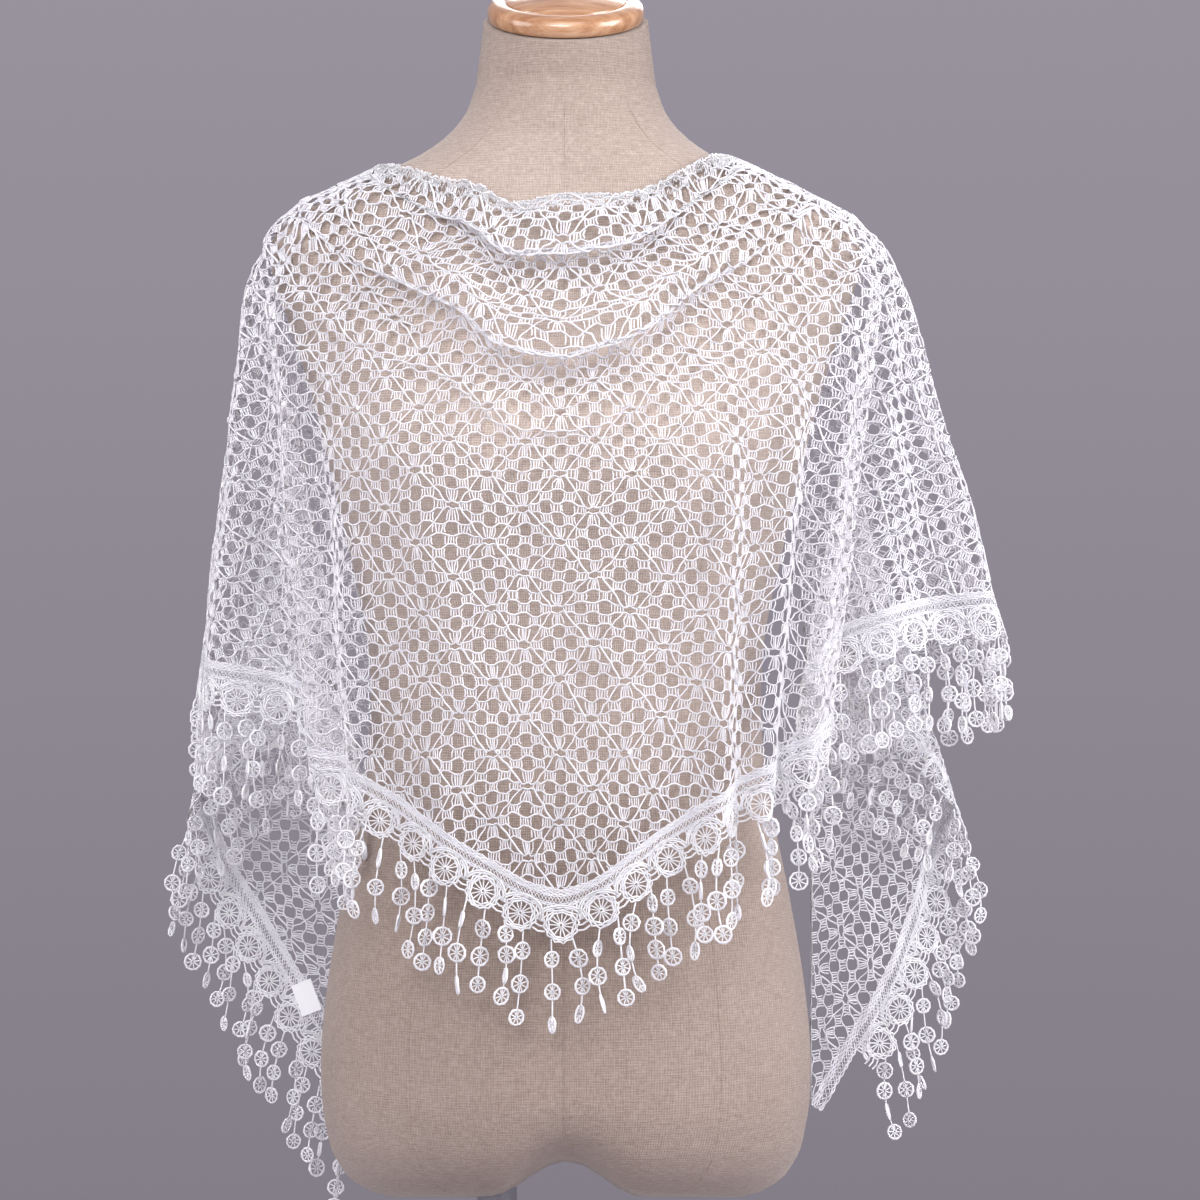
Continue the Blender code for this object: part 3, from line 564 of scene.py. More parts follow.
    def find(self, flat):
        """h and v of places in the flat layout, and how far off the nearest place of the cloth is."""
        coarse = self.flat[::COARSE, ::COARSE]
        rows = coarse.shape[1]
        tree = KDTree(coarse.shape[0] * rows)
        for k, place in enumerate(coarse.reshape(-1, 2)):
            tree.insert((place[0], place[1], 0), k)
        tree.balance()
        nearest = np.array([tree.find((place[0], place[1], 0))[1] for place in flat])
        i = nearest // rows * float(COARSE)
        j = nearest % rows * float(COARSE)
        for _ in range(12):
            i0 = np.clip(i.astype(int), 0, len(self.h) - 2)
            j0 = np.clip(j.astype(int), 0, len(self.v) - 2)
            fi, fj = (i - i0)[:, None], (j - j0)[:, None]
            a, b = self.flat[i0, j0], self.flat[i0 + 1, j0]
            c, d = self.flat[i0, j0 + 1], self.flat[i0 + 1, j0 + 1]
            here = a * (1 - fi) * (1 - fj) + b * fi * (1 - fj) + c * (1 - fi) * fj + d * fi * fj
            di = (b - a) * (1 - fj) + (d - c) * fj
            dj = (c - a) * (1 - fi) + (d - b) * fi
            miss = flat - here
            size = di[:, 0] * dj[:, 1] - di[:, 1] * dj[:, 0]
            size = np.where(np.abs(size) < 1e-9, 1e-9, size)
            i = i + np.clip((miss[:, 0] * dj[:, 1] - miss[:, 1] * dj[:, 0]) / size, -COARSE, COARSE)
            j = j + np.clip((di[:, 0] * miss[:, 1] - di[:, 1] * miss[:, 0]) / size, -COARSE, COARSE)
            i = np.clip(i, -COARSE, len(self.h) + COARSE)
            j = np.clip(j, -COARSE, len(self.v) + COARSE)
        h = i / (len(self.h) - 1) * 2 * self.last - self.last
        return h, j / (len(self.v) - 1), np.linalg.norm(miss, axis=1)

    def above_hem(self, h, width):
        """v of the place that lies a width above the trim's lower edge."""
        reach = (TRIM_HALF_EDGE - np.abs(np.interp(h, self.h, self.start))) * math.sin(HEM_ANGLE)
        return 1 - width / reach


# Finishes

class Shade:
    """Output of a shader node. Arithmetic on it adds Math nodes."""

    def __init__(self, finish, socket):
        self.finish = finish
        self.socket = socket

    def combine(self, operation, first, second):
        return self.finish.add("ShaderNodeMath", {"operation": operation}, {0: first, 1: second})

    def __add__(self, other):
        return self.combine("ADD", self, other)

    def __sub__(self, other):
        return self.combine("SUBTRACT", self, other)

    def __rsub__(self, other):
        return self.combine("SUBTRACT", other, self)

    def __mul__(self, other):
        return self.combine("MULTIPLY", self, other)

    __radd__ = __add__
    __rmul__ = __mul__


class Finish:
    """A material with its shader, and one method that adds any other node."""

    def __init__(self, name, settings):
        self.material = bpy.data.materials.new(name)
        self.material.use_nodes = True
        self.tree = self.material.node_tree
        self.shader = self.tree.nodes["Principled BSDF"]
        for socket, value in settings.items():
            self.shader.inputs[socket].default_value = value

    def add(self, kind, settings, inputs, output=0):
        node = self.tree.nodes.new(kind)
        for name, value in settings.items():
            if name == "stops":
                self.set_stops(node.color_ramp, value)
            else:
                setattr(node, name, value)
        for name, value in inputs.items():
            if isinstance(value, Shade):
                self.tree.links.new(value.socket, node.inputs[name])
            else:
                node.inputs[name].default_value = value
        return Shade(self, node.outputs[output])

    @staticmethod
    def set_stops(ramp, stops):
        for i, (place, colour) in enumerate(stops):
            stop = ramp.elements[i] if i < len(ramp.elements) else ramp.elements.new(place)
            stop.position = place
            stop.color = (*colour, 1)

    def place(self):
        """Object coordinates, in metres."""
        return self.add("ShaderNodeTexCoord", {}, {}, "Object")

    def noise(self, scale, detail, stretch=(1, 1, 1)):
        there = self.add("ShaderNodeMapping", {}, {"Vector": self.place(), "Scale": stretch})
        return self.add("ShaderNodeTexNoise", {}, {"Vector": there, "Scale": scale, "Detail": detail})

    def round_place(self, radius):
        """Object coordinates with the way round the upright axis in place of X, and the height."""
        parts = self.add("ShaderNodeSeparateXYZ", {}, {"Vector": self.place()}).socket.node.outputs
        x, y, z = (Shade(self, parts[axis]) for axis in "XYZ")
        heading = y.combine("ARCTAN2", y, x)
        return self.add("ShaderNodeCombineXYZ", {}, {"X": heading * radius, "Z": z}), z

    def wave(self, scale, direction, distortion, detail, place=None):
        settings = {"wave_type": "BANDS", "bands_direction": direction}
        inputs = {"Vector": place or self.place(), "Scale": scale, "Distortion": distortion,
                  "Detail": detail}
        return self.add("ShaderNodeTexWave", settings, inputs, "Fac")

    def ramp(self, amount, stops):
        return self.add("ShaderNodeValToRGB", {"stops": stops}, {"Fac": amount})

    def feed(self, socket, value):
        self.tree.links.new(value.socket, self.shader.inputs[socket])

    def bump(self, height, strength, distance):
        inputs = {"Height": height, "Strength": strength, "Distance": distance}
        self.feed("Normal", self.add("ShaderNodeBump", {}, inputs))


def thread_finish(name, light, dark, roughness):
    """White yarn: slight changes of tone along it, fine noise in its bump."""
    finish = Finish(name, {"Roughness": roughness, "Sheen Weight": 0.3, "Sheen Roughness": 0.4,
                           "Specular IOR Level": 0.5, "Subsurface Weight": 1.0,
                           "Subsurface Radius": (1.0, 1.0, 1.0), "Subsurface Scale": YARN_DEPTH})
    patches = finish.noise(90.0, 3.0)
    finish.feed("Base Color", finish.ramp(patches, ((0.3, dark), (0.7, light))))
    finish.bump(finish.noise(1600.0, 2.0), 0.35, 0.0004)
    return finish.material


def linen_finish():
    """Beige linen: fine crossed weave with slubs, and painted light that lightens it where the net lies
    over it and shades it.
    """
    finish = Finish("linen_cover", {"Sheen Weight": 0.15, "Sheen Roughness": 0.6})
    cover, height = finish.round_place(0.12)
    warp = finish.wave(190.0, "X", 2.5, 2.0, cover)
    weft = finish.wave(190.0, "Z", 2.5, 2.0, cover)
    slubs_across = finish.noise(170.0, 3.0, (1.0, 1.0, 7.0))
    slubs_down = finish.noise(170.0, 3.0, (7.0, 7.0, 1.0))
    cloud = finish.noise(6.0, 2.0)
    # Painted light: a band round chest height is made lighter, against the shadow the net casts there
    aside = (height - PAINTED_LIGHT_HEIGHT) * PAINTED_LIGHT_STEEPNESS
    painted_light_band = 1 - aside * aside
    painted_light = painted_light_band.combine("MAXIMUM", painted_light_band, 0.0) * 0.24
    tone = (slubs_across + slubs_down) * 0.34 + cloud * 0.2 + (warp + weft) * 0.06 + painted_light
    stops = ((0.36, (0.213, 0.157, 0.128)), (0.50, (0.305, 0.234, 0.197)), (0.64, (0.398, 0.321, 0.277)),
             (0.80, (0.54, 0.450, 0.395)))
    finish.feed("Base Color", finish.ramp(tone, stops))
    finish.feed("Roughness", slubs_across * 0.2 + 0.72)
    finish.bump((warp + weft) * 0.4 + slubs_across + slubs_down, 0.45, 0.0006)
    return finish.material


def wood_finish():
    """Varnished turned wood with long grain."""
    finish = Finish("varnished_wood", {"Roughness": 0.28, "Coat Weight": 0.6, "Coat Roughness": 0.12})
    grain = finish.noise(30.0, 5.0, (1.0, 7.0, 3.0))
    fine = finish.noise(210.0, 3.0, (0.4, 6.0, 3.0))
    stops = ((0.30, (0.25, 0.105, 0.045)), (0.50, (0.43, 0.225, 0.118)), (0.68, (0.58, 0.36, 0.225)))
    finish.feed("Base Color", finish.ramp(grain * 0.7 + fine * 0.3, stops))
    finish.bump(fine, 0.1, 0.0003)
    return finish.material


def metal_finish(name, colour, roughness, streaks):
    """Polished or brushed metal, its gloss broken by fine streaks."""
    finish = Finish(name, {"Base Color": (*colour, 1), "Metallic": 1.0})
    marks = finish.noise(40.0, 4.0, (1.0, 1.0, 14.0))
    finish.feed("Roughness", marks * streaks + roughness)
    return finish.material


def satin_finish():
    """Bare satin tab with fine ribs."""
    finish = Finish("label_satin", {"Base Color": (0.86, 0.86, 0.89, 1), "Sheen Weight": 0.3})
    ribs = finish.wave(500.0, "DIAGONAL", 0.6, 1.0)
    finish.feed("Roughness", ribs * 0.2 + 0.35)
    finish.bump(ribs, 0.25, 0.0002)
    return finish.material


# Threads

def add_piece(name, data, node, slot):
    """Link a finished mesh as a piece that rides on the part and stands for a node."""
    piece = bpy.data.objects.new(name, data)
    bpy.context.collection.objects.link(piece)
    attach(piece, "root")
    if node:
        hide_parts(node)
    return piece


def yarn_mesh(name, lines, finishes):
    """Mesh of round threads. A line is its points, its radius, its finish and whether it closes."""
    curve = bpy.data.curves.new(name, "CURVE")
    curve.dimensions = "3D"
    curve.bevel_depth = 1.0
    curve.bevel_resolution = 0
    curve.use_fill_caps = False
    for points, radius, finish, closed in lines:
        spline = curve.splines.new("POLY")
        spline.points.add(len(points) - 1)
        spline.points.foreach_set("co", np.column_stack([points, np.ones(len(points))]).ravel())
        spline.points.foreach_set("radius", np.broadcast_to(radius, len(points)).astype(float))
        spline.use_cyclic_u = closed
        spline.material_index = finish
    for finish in finishes:
        curve.materials.append(finish)
    holder = bpy.data.objects.new(name + "_curve", curve)
    bpy.context.collection.objects.link(holder)
    shown = holder.evaluated_get(bpy.context.evaluated_depsgraph_get())
    mesh = bpy.data.meshes.new_from_object(shown)
    mesh.name = name
    bpy.data.objects.remove(holder, do_unlink=True)
    bpy.data.curves.remove(curve)
    mesh.shade_smooth()
    return mesh


def is_flower(i, j):
    """A flower stands on every sixth column and half row, and in the middle between them."""
    half = REPEAT // 2
    return (i % REPEAT, j % REPEAT) in ((0, 0), (half, half))


def thread_height(i, j):
    """Depth in the cut of the thread below half row j, at column i."""
    if is_flower(i, j):
        return j * HALF_ROW + EYELET
    if is_flower(i, j + 1):
        return (j + 1) * HALF_ROW - EYELET
    return (j + 0.5) * HALF_ROW + (WAVE if (i + j) % 2 == 0 else -WAVE)


def waving_thread(j, columns):
    """Thread that waves along the cut between two half rows."""
    points = []
    for i in range(-columns, columns + 1):
        height = thread_height(i, j)
        if is_flower(i, j) or is_flower(i, j + 1):
            side = j * HALF_ROW if is_flower(i, j) else (j + 1) * HALF_ROW
            near = side + (height - side) * FLOWER_DIP
            points += [(i - FLOWER_TOP, near), (i, height), (i + FLOWER_TOP, near)]
        else:
            points += [(i - FLAT_TOP, height), (i + FLAT_TOP, height)]
    return np.array(points) * (COLUMN, 1)


def ladder(i, j):
    """Five upright bars in a cell between two holes. They gather where they meet a flower."""
    top, bottom = thread_height(i, j - 1), thread_height(i, j)
    gather_top = GATHERED if is_flower(i, j - 1) else 1.0
    gather_bottom = GATHERED if is_flower(i, j + 1) else 1.0
    bars = []
    for share in BARS:
        bar = [(i + share * gather_top, top), (i + share * gather_bottom, bottom)]
        if share in (BARS[0], BARS[-1]):
            bar.insert(1, (i + share * BAR_WAIST, (top + bottom) / 2))
        bars.append(np.array(bar) * (COLUMN, 1))
    return bars


def spoke(i, j, way):
    """Straight shiny thread from the eyelet of a flower to the next flower below it."""
    start = np.array([i + SPOKE_FROM[0] * way, j + SPOKE_FROM[1]])
    reach = (REPEAT / 2 - np.array(SPOKE_FALLS_SHORT)) * (way, 1)
    return (start + np.linspace(0, 1, 7)[:, None] * reach) * (COLUMN, HALF_ROW)


def net_lines(lowest, highest):
    """All threads of the net between two corners of the flat layout, with radius and finish."""
    lines = []
    columns = int(max(-lowest[0], highest[0]) / COLUMN / (1 - NARROWS)) + 1
    for j in range(int(lowest[1] / HALF_ROW) - 1, int(highest[1] / HALF_ROW) + 2):
        lines.append((waving_thread(j, columns), NET_RADIUS, 0))
        for i in range(-columns, columns + 1):
            if (i + j) % 2:
                lines += [(bar, BAR_RADIUS, 0) for bar in ladder(i, j)]
            if is_flower(i, j):
                lines.append((spoke(i, j, 1), SPOKE_RADIUS, 1))
                lines.append((spoke(i, j, -1), SPOKE_RADIUS * 0.75, 1))
    return lines


def pulled(points):
    """The net hangs narrower and longer lower down, and is a little uneven, as soft net is."""
    hung = np.clip((points[:, 1] - HANGS_FROM) / HANGS_OVER, 0, 1)
    points = points * np.column_stack([1 - NARROWS * hung, 1 + LENGTHENS * hung])
    s, t = points[:, 0], points[:, 1]
    ds = UNEVEN * np.sin(s * 41 + 2 * np.sin(t * 33)) * np.sin(t * 57 + 1.3)
    dt = UNEVEN * np.sin(t * 47 + 1.7 * np.sin(s * 29)) * np.sin(s * 63 + 0.4)
    ds = ds + JITTER * np.sin(s * 905 + 40 * np.sin(t * 311)) * np.sin(t * 1130 + 2.0)
    dt = dt + JITTER * np.sin(t * 870 + 40 * np.sin(s * 283)) * np.sin(s * 990 + 0.7)
    return points + np.column_stack([ds, dt])


def inside_runs(places, room):
    """Runs of a line that lie in the net, cut where it meets the tape or the long edge."""
    runs, run = [], []
    for k in range(len(places)):
        if k and (room[k] > 0) != (room[k - 1] > 0):
            share = room[k - 1] / (room[k - 1] - room[k])
            run.append(places[k - 1] + (places[k] - places[k - 1]) * share)
            if room[k] <= 0:
                runs.append(np.array(run))
                run = []
        if room[k] > 0:
            run.append(places[k])
    runs.append(np.array(run))
    return [run for run in runs if len(run) > 1]


def net_threads(drape):
    """Threads of the net laid on the drape, sorted into the shawl's stretches."""
    yarn = random.Random(7)
    corners = drape.flat.reshape(-1, 2)
    lines = net_lines(corners.min(axis=0), corners.max(axis=0))
    h, v, miss = drape.find(np.vstack([pulled(line[0]) for line in lines]))
    room = np.minimum((drape.above_hem(h, TRIM_WIDTH - JOIN) - v) * FLAT_DEPTH, v * FLAT_DEPTH)
    room = np.minimum(room, drape.last - np.abs(h))
    room = np.where(miss > LARGEST_MISS, -1.0, room)
    places = np.column_stack([h, v])
    runs = []
    at = 0
    for points, radius, finish in lines:
        last = at + len(points)
        if room[at:last].max() > 0:
            full = radius * yarn.uniform(0.88, 1.12) * np.interp(points[0, 1], *THICKER_AT_TOP)
            runs += [(run, full, finish) for run in inside_runs(places[at:last], room[at:last])]
        at = last
    edge = np.arange(-drape.last, drape.last, EDGE_STEP)
    edge = edge[drape.above_hem(edge, TRIM_WIDTH) > 0]
    turn = np.arange(len(edge)) % 2
    for start, swing in EDGE_THREADS:
        frill = start + swing * turn + np.array([yarn.uniform(0, 0.003) for _ in edge])
        runs.append((np.column_stack([edge, frill]), NET_RADIUS, 0))
    laid = np.vstack([run[0] for run in runs])
    finish_of = np.repeat([run[2] for run in runs], [len(run[0]) for run in runs])
    there = drape.at(laid[:, 0], laid[:, 1], finish_of * SPOKE_LIFT)
    stretch_of = np.searchsorted([row[1] * CM for row in STRETCHES[1:]], laid[:, 0])
    sorted_lines = [[] for _ in STRETCHES]
    at = 0
    for run, radius, finish in runs:
        points, owner = there[at:at + len(run)], stretch_of[at:at + len(run)]
        at += len(run)
        cuts = (np.flatnonzero(np.diff(owner)) + 1).tolist()
        for first, last in zip([0] + cuts, cuts + [len(run) - 1]):
            if last > first:
                full = radius * STRETCHES[owner[first]][3]
                sorted_lines[owner[first]].append((points[first:last + 1], full, finish, False))
    return sorted_lines


def hem_places(drape, spacing, first, last):
    """Places along the hem, about a spacing apart on the hung cloth."""
    fine = np.linspace(first, last, 400)
    line = drape.at(fine, np.ones_like(fine))
    run = np.concatenate([[0], np.cumsum(np.linalg.norm(np.diff(line, axis=0), axis=1))])
    count = max(2, round(run[-1] / spacing))
    return np.interp(np.linspace(0, run[-1], count + 1), run, fine)


def hem_line(drape, h, width, lift):
    """Points along the hem at a width above the trim's lower edge, where the cloth has it."""
    v = drape.above_hem(h, width)
    keep = v > 0
    return drape.at(h[keep], v[keep], np.broadcast_to(lift, h.shape)[keep])


def uneven(radius, count, yarn):
    """Radius of a fluffy thread, thick and thin by turns."""
    return radius * np.array([yarn.uniform(0.75, 1.3) for _ in range(count)])


def tape_threads(drape, first, last, yarn):
    """Tape: cords side by side along both edges and a lattice of small eyelets between them."""
    lines = []
    h = np.arange(first, last + TAPE_STEP, TAPE_STEP)
    h[-1] = last
    turn = np.arange(len(h)) % 2 * 2 - 1
    for k, inward in enumerate(TAPE_CORDS):
        swing = turn * CORD_SWING * (-1) ** k
        points = hem_line(drape, h, TRIM_WIDTH - inward + swing, swing)
        if len(points) > 1:
            lines.append((points, uneven(TAPE_YARN, len(points), yarn), 0, False))
    for side in (-1, 1):
        width = TRIM_WIDTH - TAPE_EYELETS + side * turn * EYELET_HEIGHT
        points = hem_line(drape, h, width, side * CORD_SWING * 1.2)
        if len(points) > 1:
            lines.append((points, uneven(LACING_YARN, len(points), yarn), 0, False))
    return lines


def local_patch(drape, h, width):
    """What lays points on the cloth round a place of the trim, given along and up the cloth."""
    step = 2 * MM
    here = np.array([h])

    def at(dh, dw):
        v = np.clip(drape.above_hem(here + dh, width + dw), 0, 1)
        return drape.at(here + dh, v)[0]

    along = (at(step, 0) - at(-step, 0)) / (2 * step)
    up = (at(0, step) - at(0, -step)) / (2 * step)
    run = max(np.linalg.norm(along), 0.4)
    along = along / run
    skew = float(np.dot(up, along))
    rise = max(np.linalg.norm(up - along * skew), 0.5)

    def lay(x, y, lift=0.0):
        dw = y / rise
        dh = (x - skew * dw) / run
        v = np.clip(drape.above_hem(h + dh, width + dw), 0, 1)
        return drape.at(h + dh, v, lift)

    return lay


def wheel_threads(lay, radius, spokes, yarn):
    """Wheel of the trim: spokes from a small hub, two rims and an outer ring of small scallops."""
    lines = []
    turn = yarn.uniform(0, math.pi)
    for k in range(spokes):
        angle = turn + 2 * math.pi * k / spokes + yarn.uniform(-0.06, 0.06)
        reach = np.array([0.08, 0.76]) * radius
        lines.append((lay(reach * math.cos(angle), reach * math.sin(angle)), FINE_YARN, 0, False))
    for share, count, wobble, thick in WHEEL_RINGS:
        angle = turn + np.arange(count) * 2 * math.pi / count
        size = radius * (share + wobble * np.cos(np.arange(count) * math.pi))
        rim = lay(size * np.cos(angle), size * np.sin(angle), 0.3 * MM)
        lines.append((rim, uneven(thick * MM, count, yarn), 0, True))
    return lines


def trim_threads(drape, columns, yarn):
    """Wheels along the hem with bars between them, under a double cord and short uprights."""
    lines = []
    for k, h in enumerate(columns[:-1]):
        lay = local_patch(drape, h, WHEEL_HEIGHT)
        lines += wheel_threads(lay, WHEEL_RADIUS, WHEEL_SPOKES, yarn)
        between = local_patch(drape, (h + columns[k + 1]) / 2, WHEEL_HEIGHT)
        for height in LINK_HEIGHTS:
            x = np.array([-LINK_HALF, 0, LINK_HALF])
            y = np.array([height, height - LINK_SAG, height])
            lines.append((between(x, y), TAPE_YARN, 0, False))
        angle = np.linspace(math.radians(5), math.radians(175), 14)
        for size in ARC_SIZES:
            radius = WHEEL_RADIUS * size
            x, y = radius * np.cos(angle) * 1.12, radius * np.sin(angle) * 0.92
            lines.append((lay(x, y, 0.4 * MM), uneven(ARC_YARN, len(x), yarn), 0, False))
        for x in np.linspace(-UPRIGHT_TOP, UPRIGHT_TOP, UPRIGHTS):
            low = WHEEL_RADIUS * 0.95 - x * x / WHEEL_RADIUS * 0.45
            upright = lay(np.array([x, x * 0.96]), np.array([low, UPRIGHT_TOP]))
            lines.append((upright, UPRIGHT_YARN, 0, False))
    return lines


def disc_lines(centre, down, side, radius, yarn):
    """Small wheel of the fringe: a rim and four crossed threads."""
    lines = []
    angle = np.arange(10) * 2 * math.pi / 10
    rim = centre + radius * (np.cos(angle)[:, None] * down + np.sin(angle)[:, None] * side)
    lines.append((rim, uneven(RIM_YARN, len(angle), yarn), 0, True))
    for k in range(4):
        turn = math.pi * (k + 0.5) / 4
        arm = radius * 0.9 * (math.cos(turn) * down + math.sin(turn) * side)
        lines.append((np.array([centre - arm, centre + arm]), FINE_YARN, 0, False))
    return lines


def strand_lines(root, outward, yarn):
    """Hanging strand: a cord with three or four wheels, turned every way, some ended by a leaf."""
    fall = STRAND_LEAN * outward - np.array([0, 0, 1.0])
    fall = fall / np.linalg.norm(fall)
    heading = yarn.uniform(0, 2 * math.pi)
    swing = np.array([math.cos(heading), math.sin(heading), 0]) * yarn.uniform(*STRAND_SWING)
    length = STRAND_LENGTH * yarn.uniform(0.82, 1.0)
    discs = yarn.choice((3, 3, 3, 4))
    leaf = yarn.random() < LEAF_SHARE

    def on(distance):
        share = distance / STRAND_LENGTH
        aside = swing * math.sin(share * math.pi) * STRAND_LENGTH * 0.5
        return root + fall * distance + aside

    cord = np.array([on(distance) for distance in np.linspace(0, length - DISC_RADIUS, 7)])
    lines = [(cord, LACING_YARN, 0, False)]
    for k in range(discs):
        at = FIRST_DISC[discs] + (length - FIRST_DISC[discs] - DISC_RADIUS) * k / (discs - 1)
        down = on(at + 0.001) - on(at - 0.001)
        down = down / np.linalg.norm(down)
        twist = yarn.gauss(0, 0.75)
        side = np.array([math.cos(twist), math.sin(twist), 0])
        side = side - down * np.dot(side, down)
        side = side / np.linalg.norm(side)
        radius = DISC_RADIUS * yarn.uniform(0.88, 1.08)
        if leaf and k == discs - 1:
            side = side * LEAF_WIDTH
        lines += disc_lines(on(at), down, side, radius, yarn)
    return lines


def fringe_threads(drape, columns, yarn):
    """Two strands from the lower side of each wheel of the trim."""
    lines = []
    drop = math.sqrt(WHEEL_RADIUS ** 2 - STRAND_ASIDE ** 2)
    for h in columns[:-1]:
        lay = local_patch(drape, h, WHEEL_HEIGHT)
        for side in (-1, 1):
            x = np.full(2, STRAND_ASIDE * side)
            root, above = lay(x, np.array([-drop, -drop + 4 * MM]))
            outward = (root - above) / np.linalg.norm(root - above)
            lines += strand_lines(root, outward, yarn)
    return lines


def sequin_lines(drape):
    """Clear rings sewn on a few of the flowers."""
    picked = random.Random(23)
    flowers = []
    for i in range(-SEQUIN_COLUMNS, SEQUIN_COLUMNS + 1):
        for j in range(*SEQUIN_ROWS):
            if is_flower(i, j) and picked.random() < SEQUIN_SHARE:
                flowers.append((i * COLUMN + 0.0035, j * HALF_ROW - 0.001))
    angle = np.arange(10) * 2 * math.pi / 10
    ring = SEQUIN_RADIUS * np.column_stack([np.cos(angle), np.sin(angle)])
    lines = []
    for flower in flowers:
        h, v, miss = drape.find(pulled(ring + flower))
        if miss.max() < LARGEST_MISS and v.min() > 0.02 and (drape.above_hem(h, TRIM_WIDTH) - v).min() > 0:
            lines.append((drape.at(h, v, 1.1 * MM), 0.6 * MM, 0, True))
    return lines


def stretch_cut(drape, first, last):
    """Width, length and area of a stretch's net laid flat, measured along its long edge."""
    columns = (drape.h >= first) & (drape.h <= last)
    h = drape.h[columns]
    flat = drape.flat[columns]
    rows = np.clip(drape.above_hem(h, TRIM_WIDTH), 0, 1) * (len(drape.v) - 1)
    lower = flat[np.arange(len(h)), rows.astype(int)]
    outline = np.vstack([flat[:, 0], lower[::-1]])
    way = flat[-1, 0] - flat[0, 0]
    way = way / np.linalg.norm(way)
    x, y = outline @ way, outline @ np.array([-way[1], way[0]])
    area = 0.5 * abs(np.dot(x, np.roll(y, 1)) - np.dot(y, np.roll(x, 1)))
    return float(np.ptp(x)), float(np.ptp(y)), float(area)


def dress_shawl(drape, finishes):
    """Net, tape, trim and fringe of each stretch."""
    nets = net_threads(drape)
    yarn = random.Random(11)
    for (name, first, last, _), net in zip(STRETCHES, nets):
        first, last = first * CM, last * CM
        net_piece = add_piece("net_" + name, yarn_mesh("net_" + name, net, finishes["net"]),
                              "lace_" + name, "lace")
        columns = hem_places(drape, MEDALLION_PITCH, first, last)
        if name == "tail_right":
            columns = columns[:-1]
        parts = (
            ("woven_tape_", tape_threads(drape, first, last, yarn), "tape_", "hem_tape", "tape"),
            ("wheel_trim_", trim_threads(drape, columns, yarn), "trim_", "medallion_trim", "trim"),
            ("drops_", fringe_threads(drape, columns, yarn), "fringe_", "drop_fringe", "trim"),
        )
        for prefix, lines, node, slot, finish in parts:
            mesh = yarn_mesh(prefix + name, lines, finishes[finish])
            add_piece(prefix + name, mesh, node + name, slot)
        width, length, area = stretch_cut(drape, first, last)


# The form, its cap and its stand

def skin_point(angle, z):
    """Point of the form's skin at a heading and a height."""
    x, y = math.cos(angle), math.sin(angle)
    radius = (abs(x) ** TORSO_POWER + abs(y) ** TORSO_POWER) ** (-1 / TORSO_POWER)
    size = torso_section(np.array([z]))[0]
    x, y = x * radius * size[0], y * radius
    deep = size[1] + float(bust(np.array([x]), np.array([z]))[0])
    return Vector((x, y * (deep if y < 0 else size[2]), z))


def raised(place):
    """The form's lowest part, raised in front and in an arch between its two lower rounds."""
    low = max(0.0, 1 - (place.z - TORSO[0][0] * CM) / UNDERSIDE_FADE)
    arch = ARCH_HEIGHT * math.cos(math.pi / 2 * min(abs(place.x) / ARCH_HALF, 1)) ** 2
    front = FRONT_RISE * min(max(-place.y, 0) / FRONT_DEPTH, 1)
    return place + Vector((0, 0, (arch + front) * low))


def smooth_mesh(name, bm, finish, sharp):
    """Smooth mesh of a finished bmesh, sharp only where its faces meet at more than an angle."""
    mesh = bpy.data.meshes.new(name)
    bm.to_mesh(mesh)
    bm.free()
    mesh.shade_smooth()
    mesh.set_sharp_from_angle(angle=math.radians(sharp))
    mesh.materials.append(finish)
    return mesh


def form_skin(finish):
    """Smooth skin of the form: a sphere's net of points moved onto its sections."""
    rings, sides = 150, 112
    bm = bmesh.new()
    bmesh.ops.create_uvsphere(bm, u_segments=sides, v_segments=rings, radius=1.0)
    bottom, top = TORSO[0][0] * CM, TORSO[-1][0] * CM
    under, neck = 0.07, 0.90
    for vert in bm.verts:
        share = 1 - math.acos(max(-1, min(1, vert.co.z))) / math.pi
        angle = math.atan2(vert.co.y, vert.co.x)
        if share < under:
            rim = skin_point(angle, bottom)
            vert.co = raised(Vector((rim.x * share / under, rim.y * share / under, bottom)))
        elif share < neck:
            z = bottom + (top - bottom) * (share - under) / (neck - under)
            vert.co = raised(skin_point(angle, z))
        else:
            rise = (share - neck) / (1 - neck) * 1.6
            grown = min(rise, 1)
            rim = Matrix.Rotation(NECK_TILT, 3, "X") @ Vector((
                NECK_RADIUS * math.cos(angle), NECK_RADIUS * math.sin(angle), 0)) + NECK_TOP
            smooth = grown * grown * (3 - 2 * grown)
            side = skin_point(angle, top).lerp(rim, 0.5 * grown + 0.5 * smooth)
            vert.co = side.lerp(NECK_TOP, max(rise - 1, 0) / 0.6)
    add_piece("form_skin", smooth_mesh("form_skin", bm, finish, 55), "form_torso", "linen")


def form_seams(finish):
    """Seams of the cover: down the middle, over the bust, at the sides and three at the back."""
    lines = []
    for heading in SEAM_HEADINGS:
        points = [raised(skin_point(math.radians(heading), z)) for z in np.linspace(*SEAM_HEIGHTS, 90)]
        lines.append((np.array(points) * (SEAM_INSET, SEAM_INSET, 1), SEAM_RADIUS, 0, False))
    add_piece("form_seams", yarn_mesh("form_seams", lines, [finish]), None, "linen")


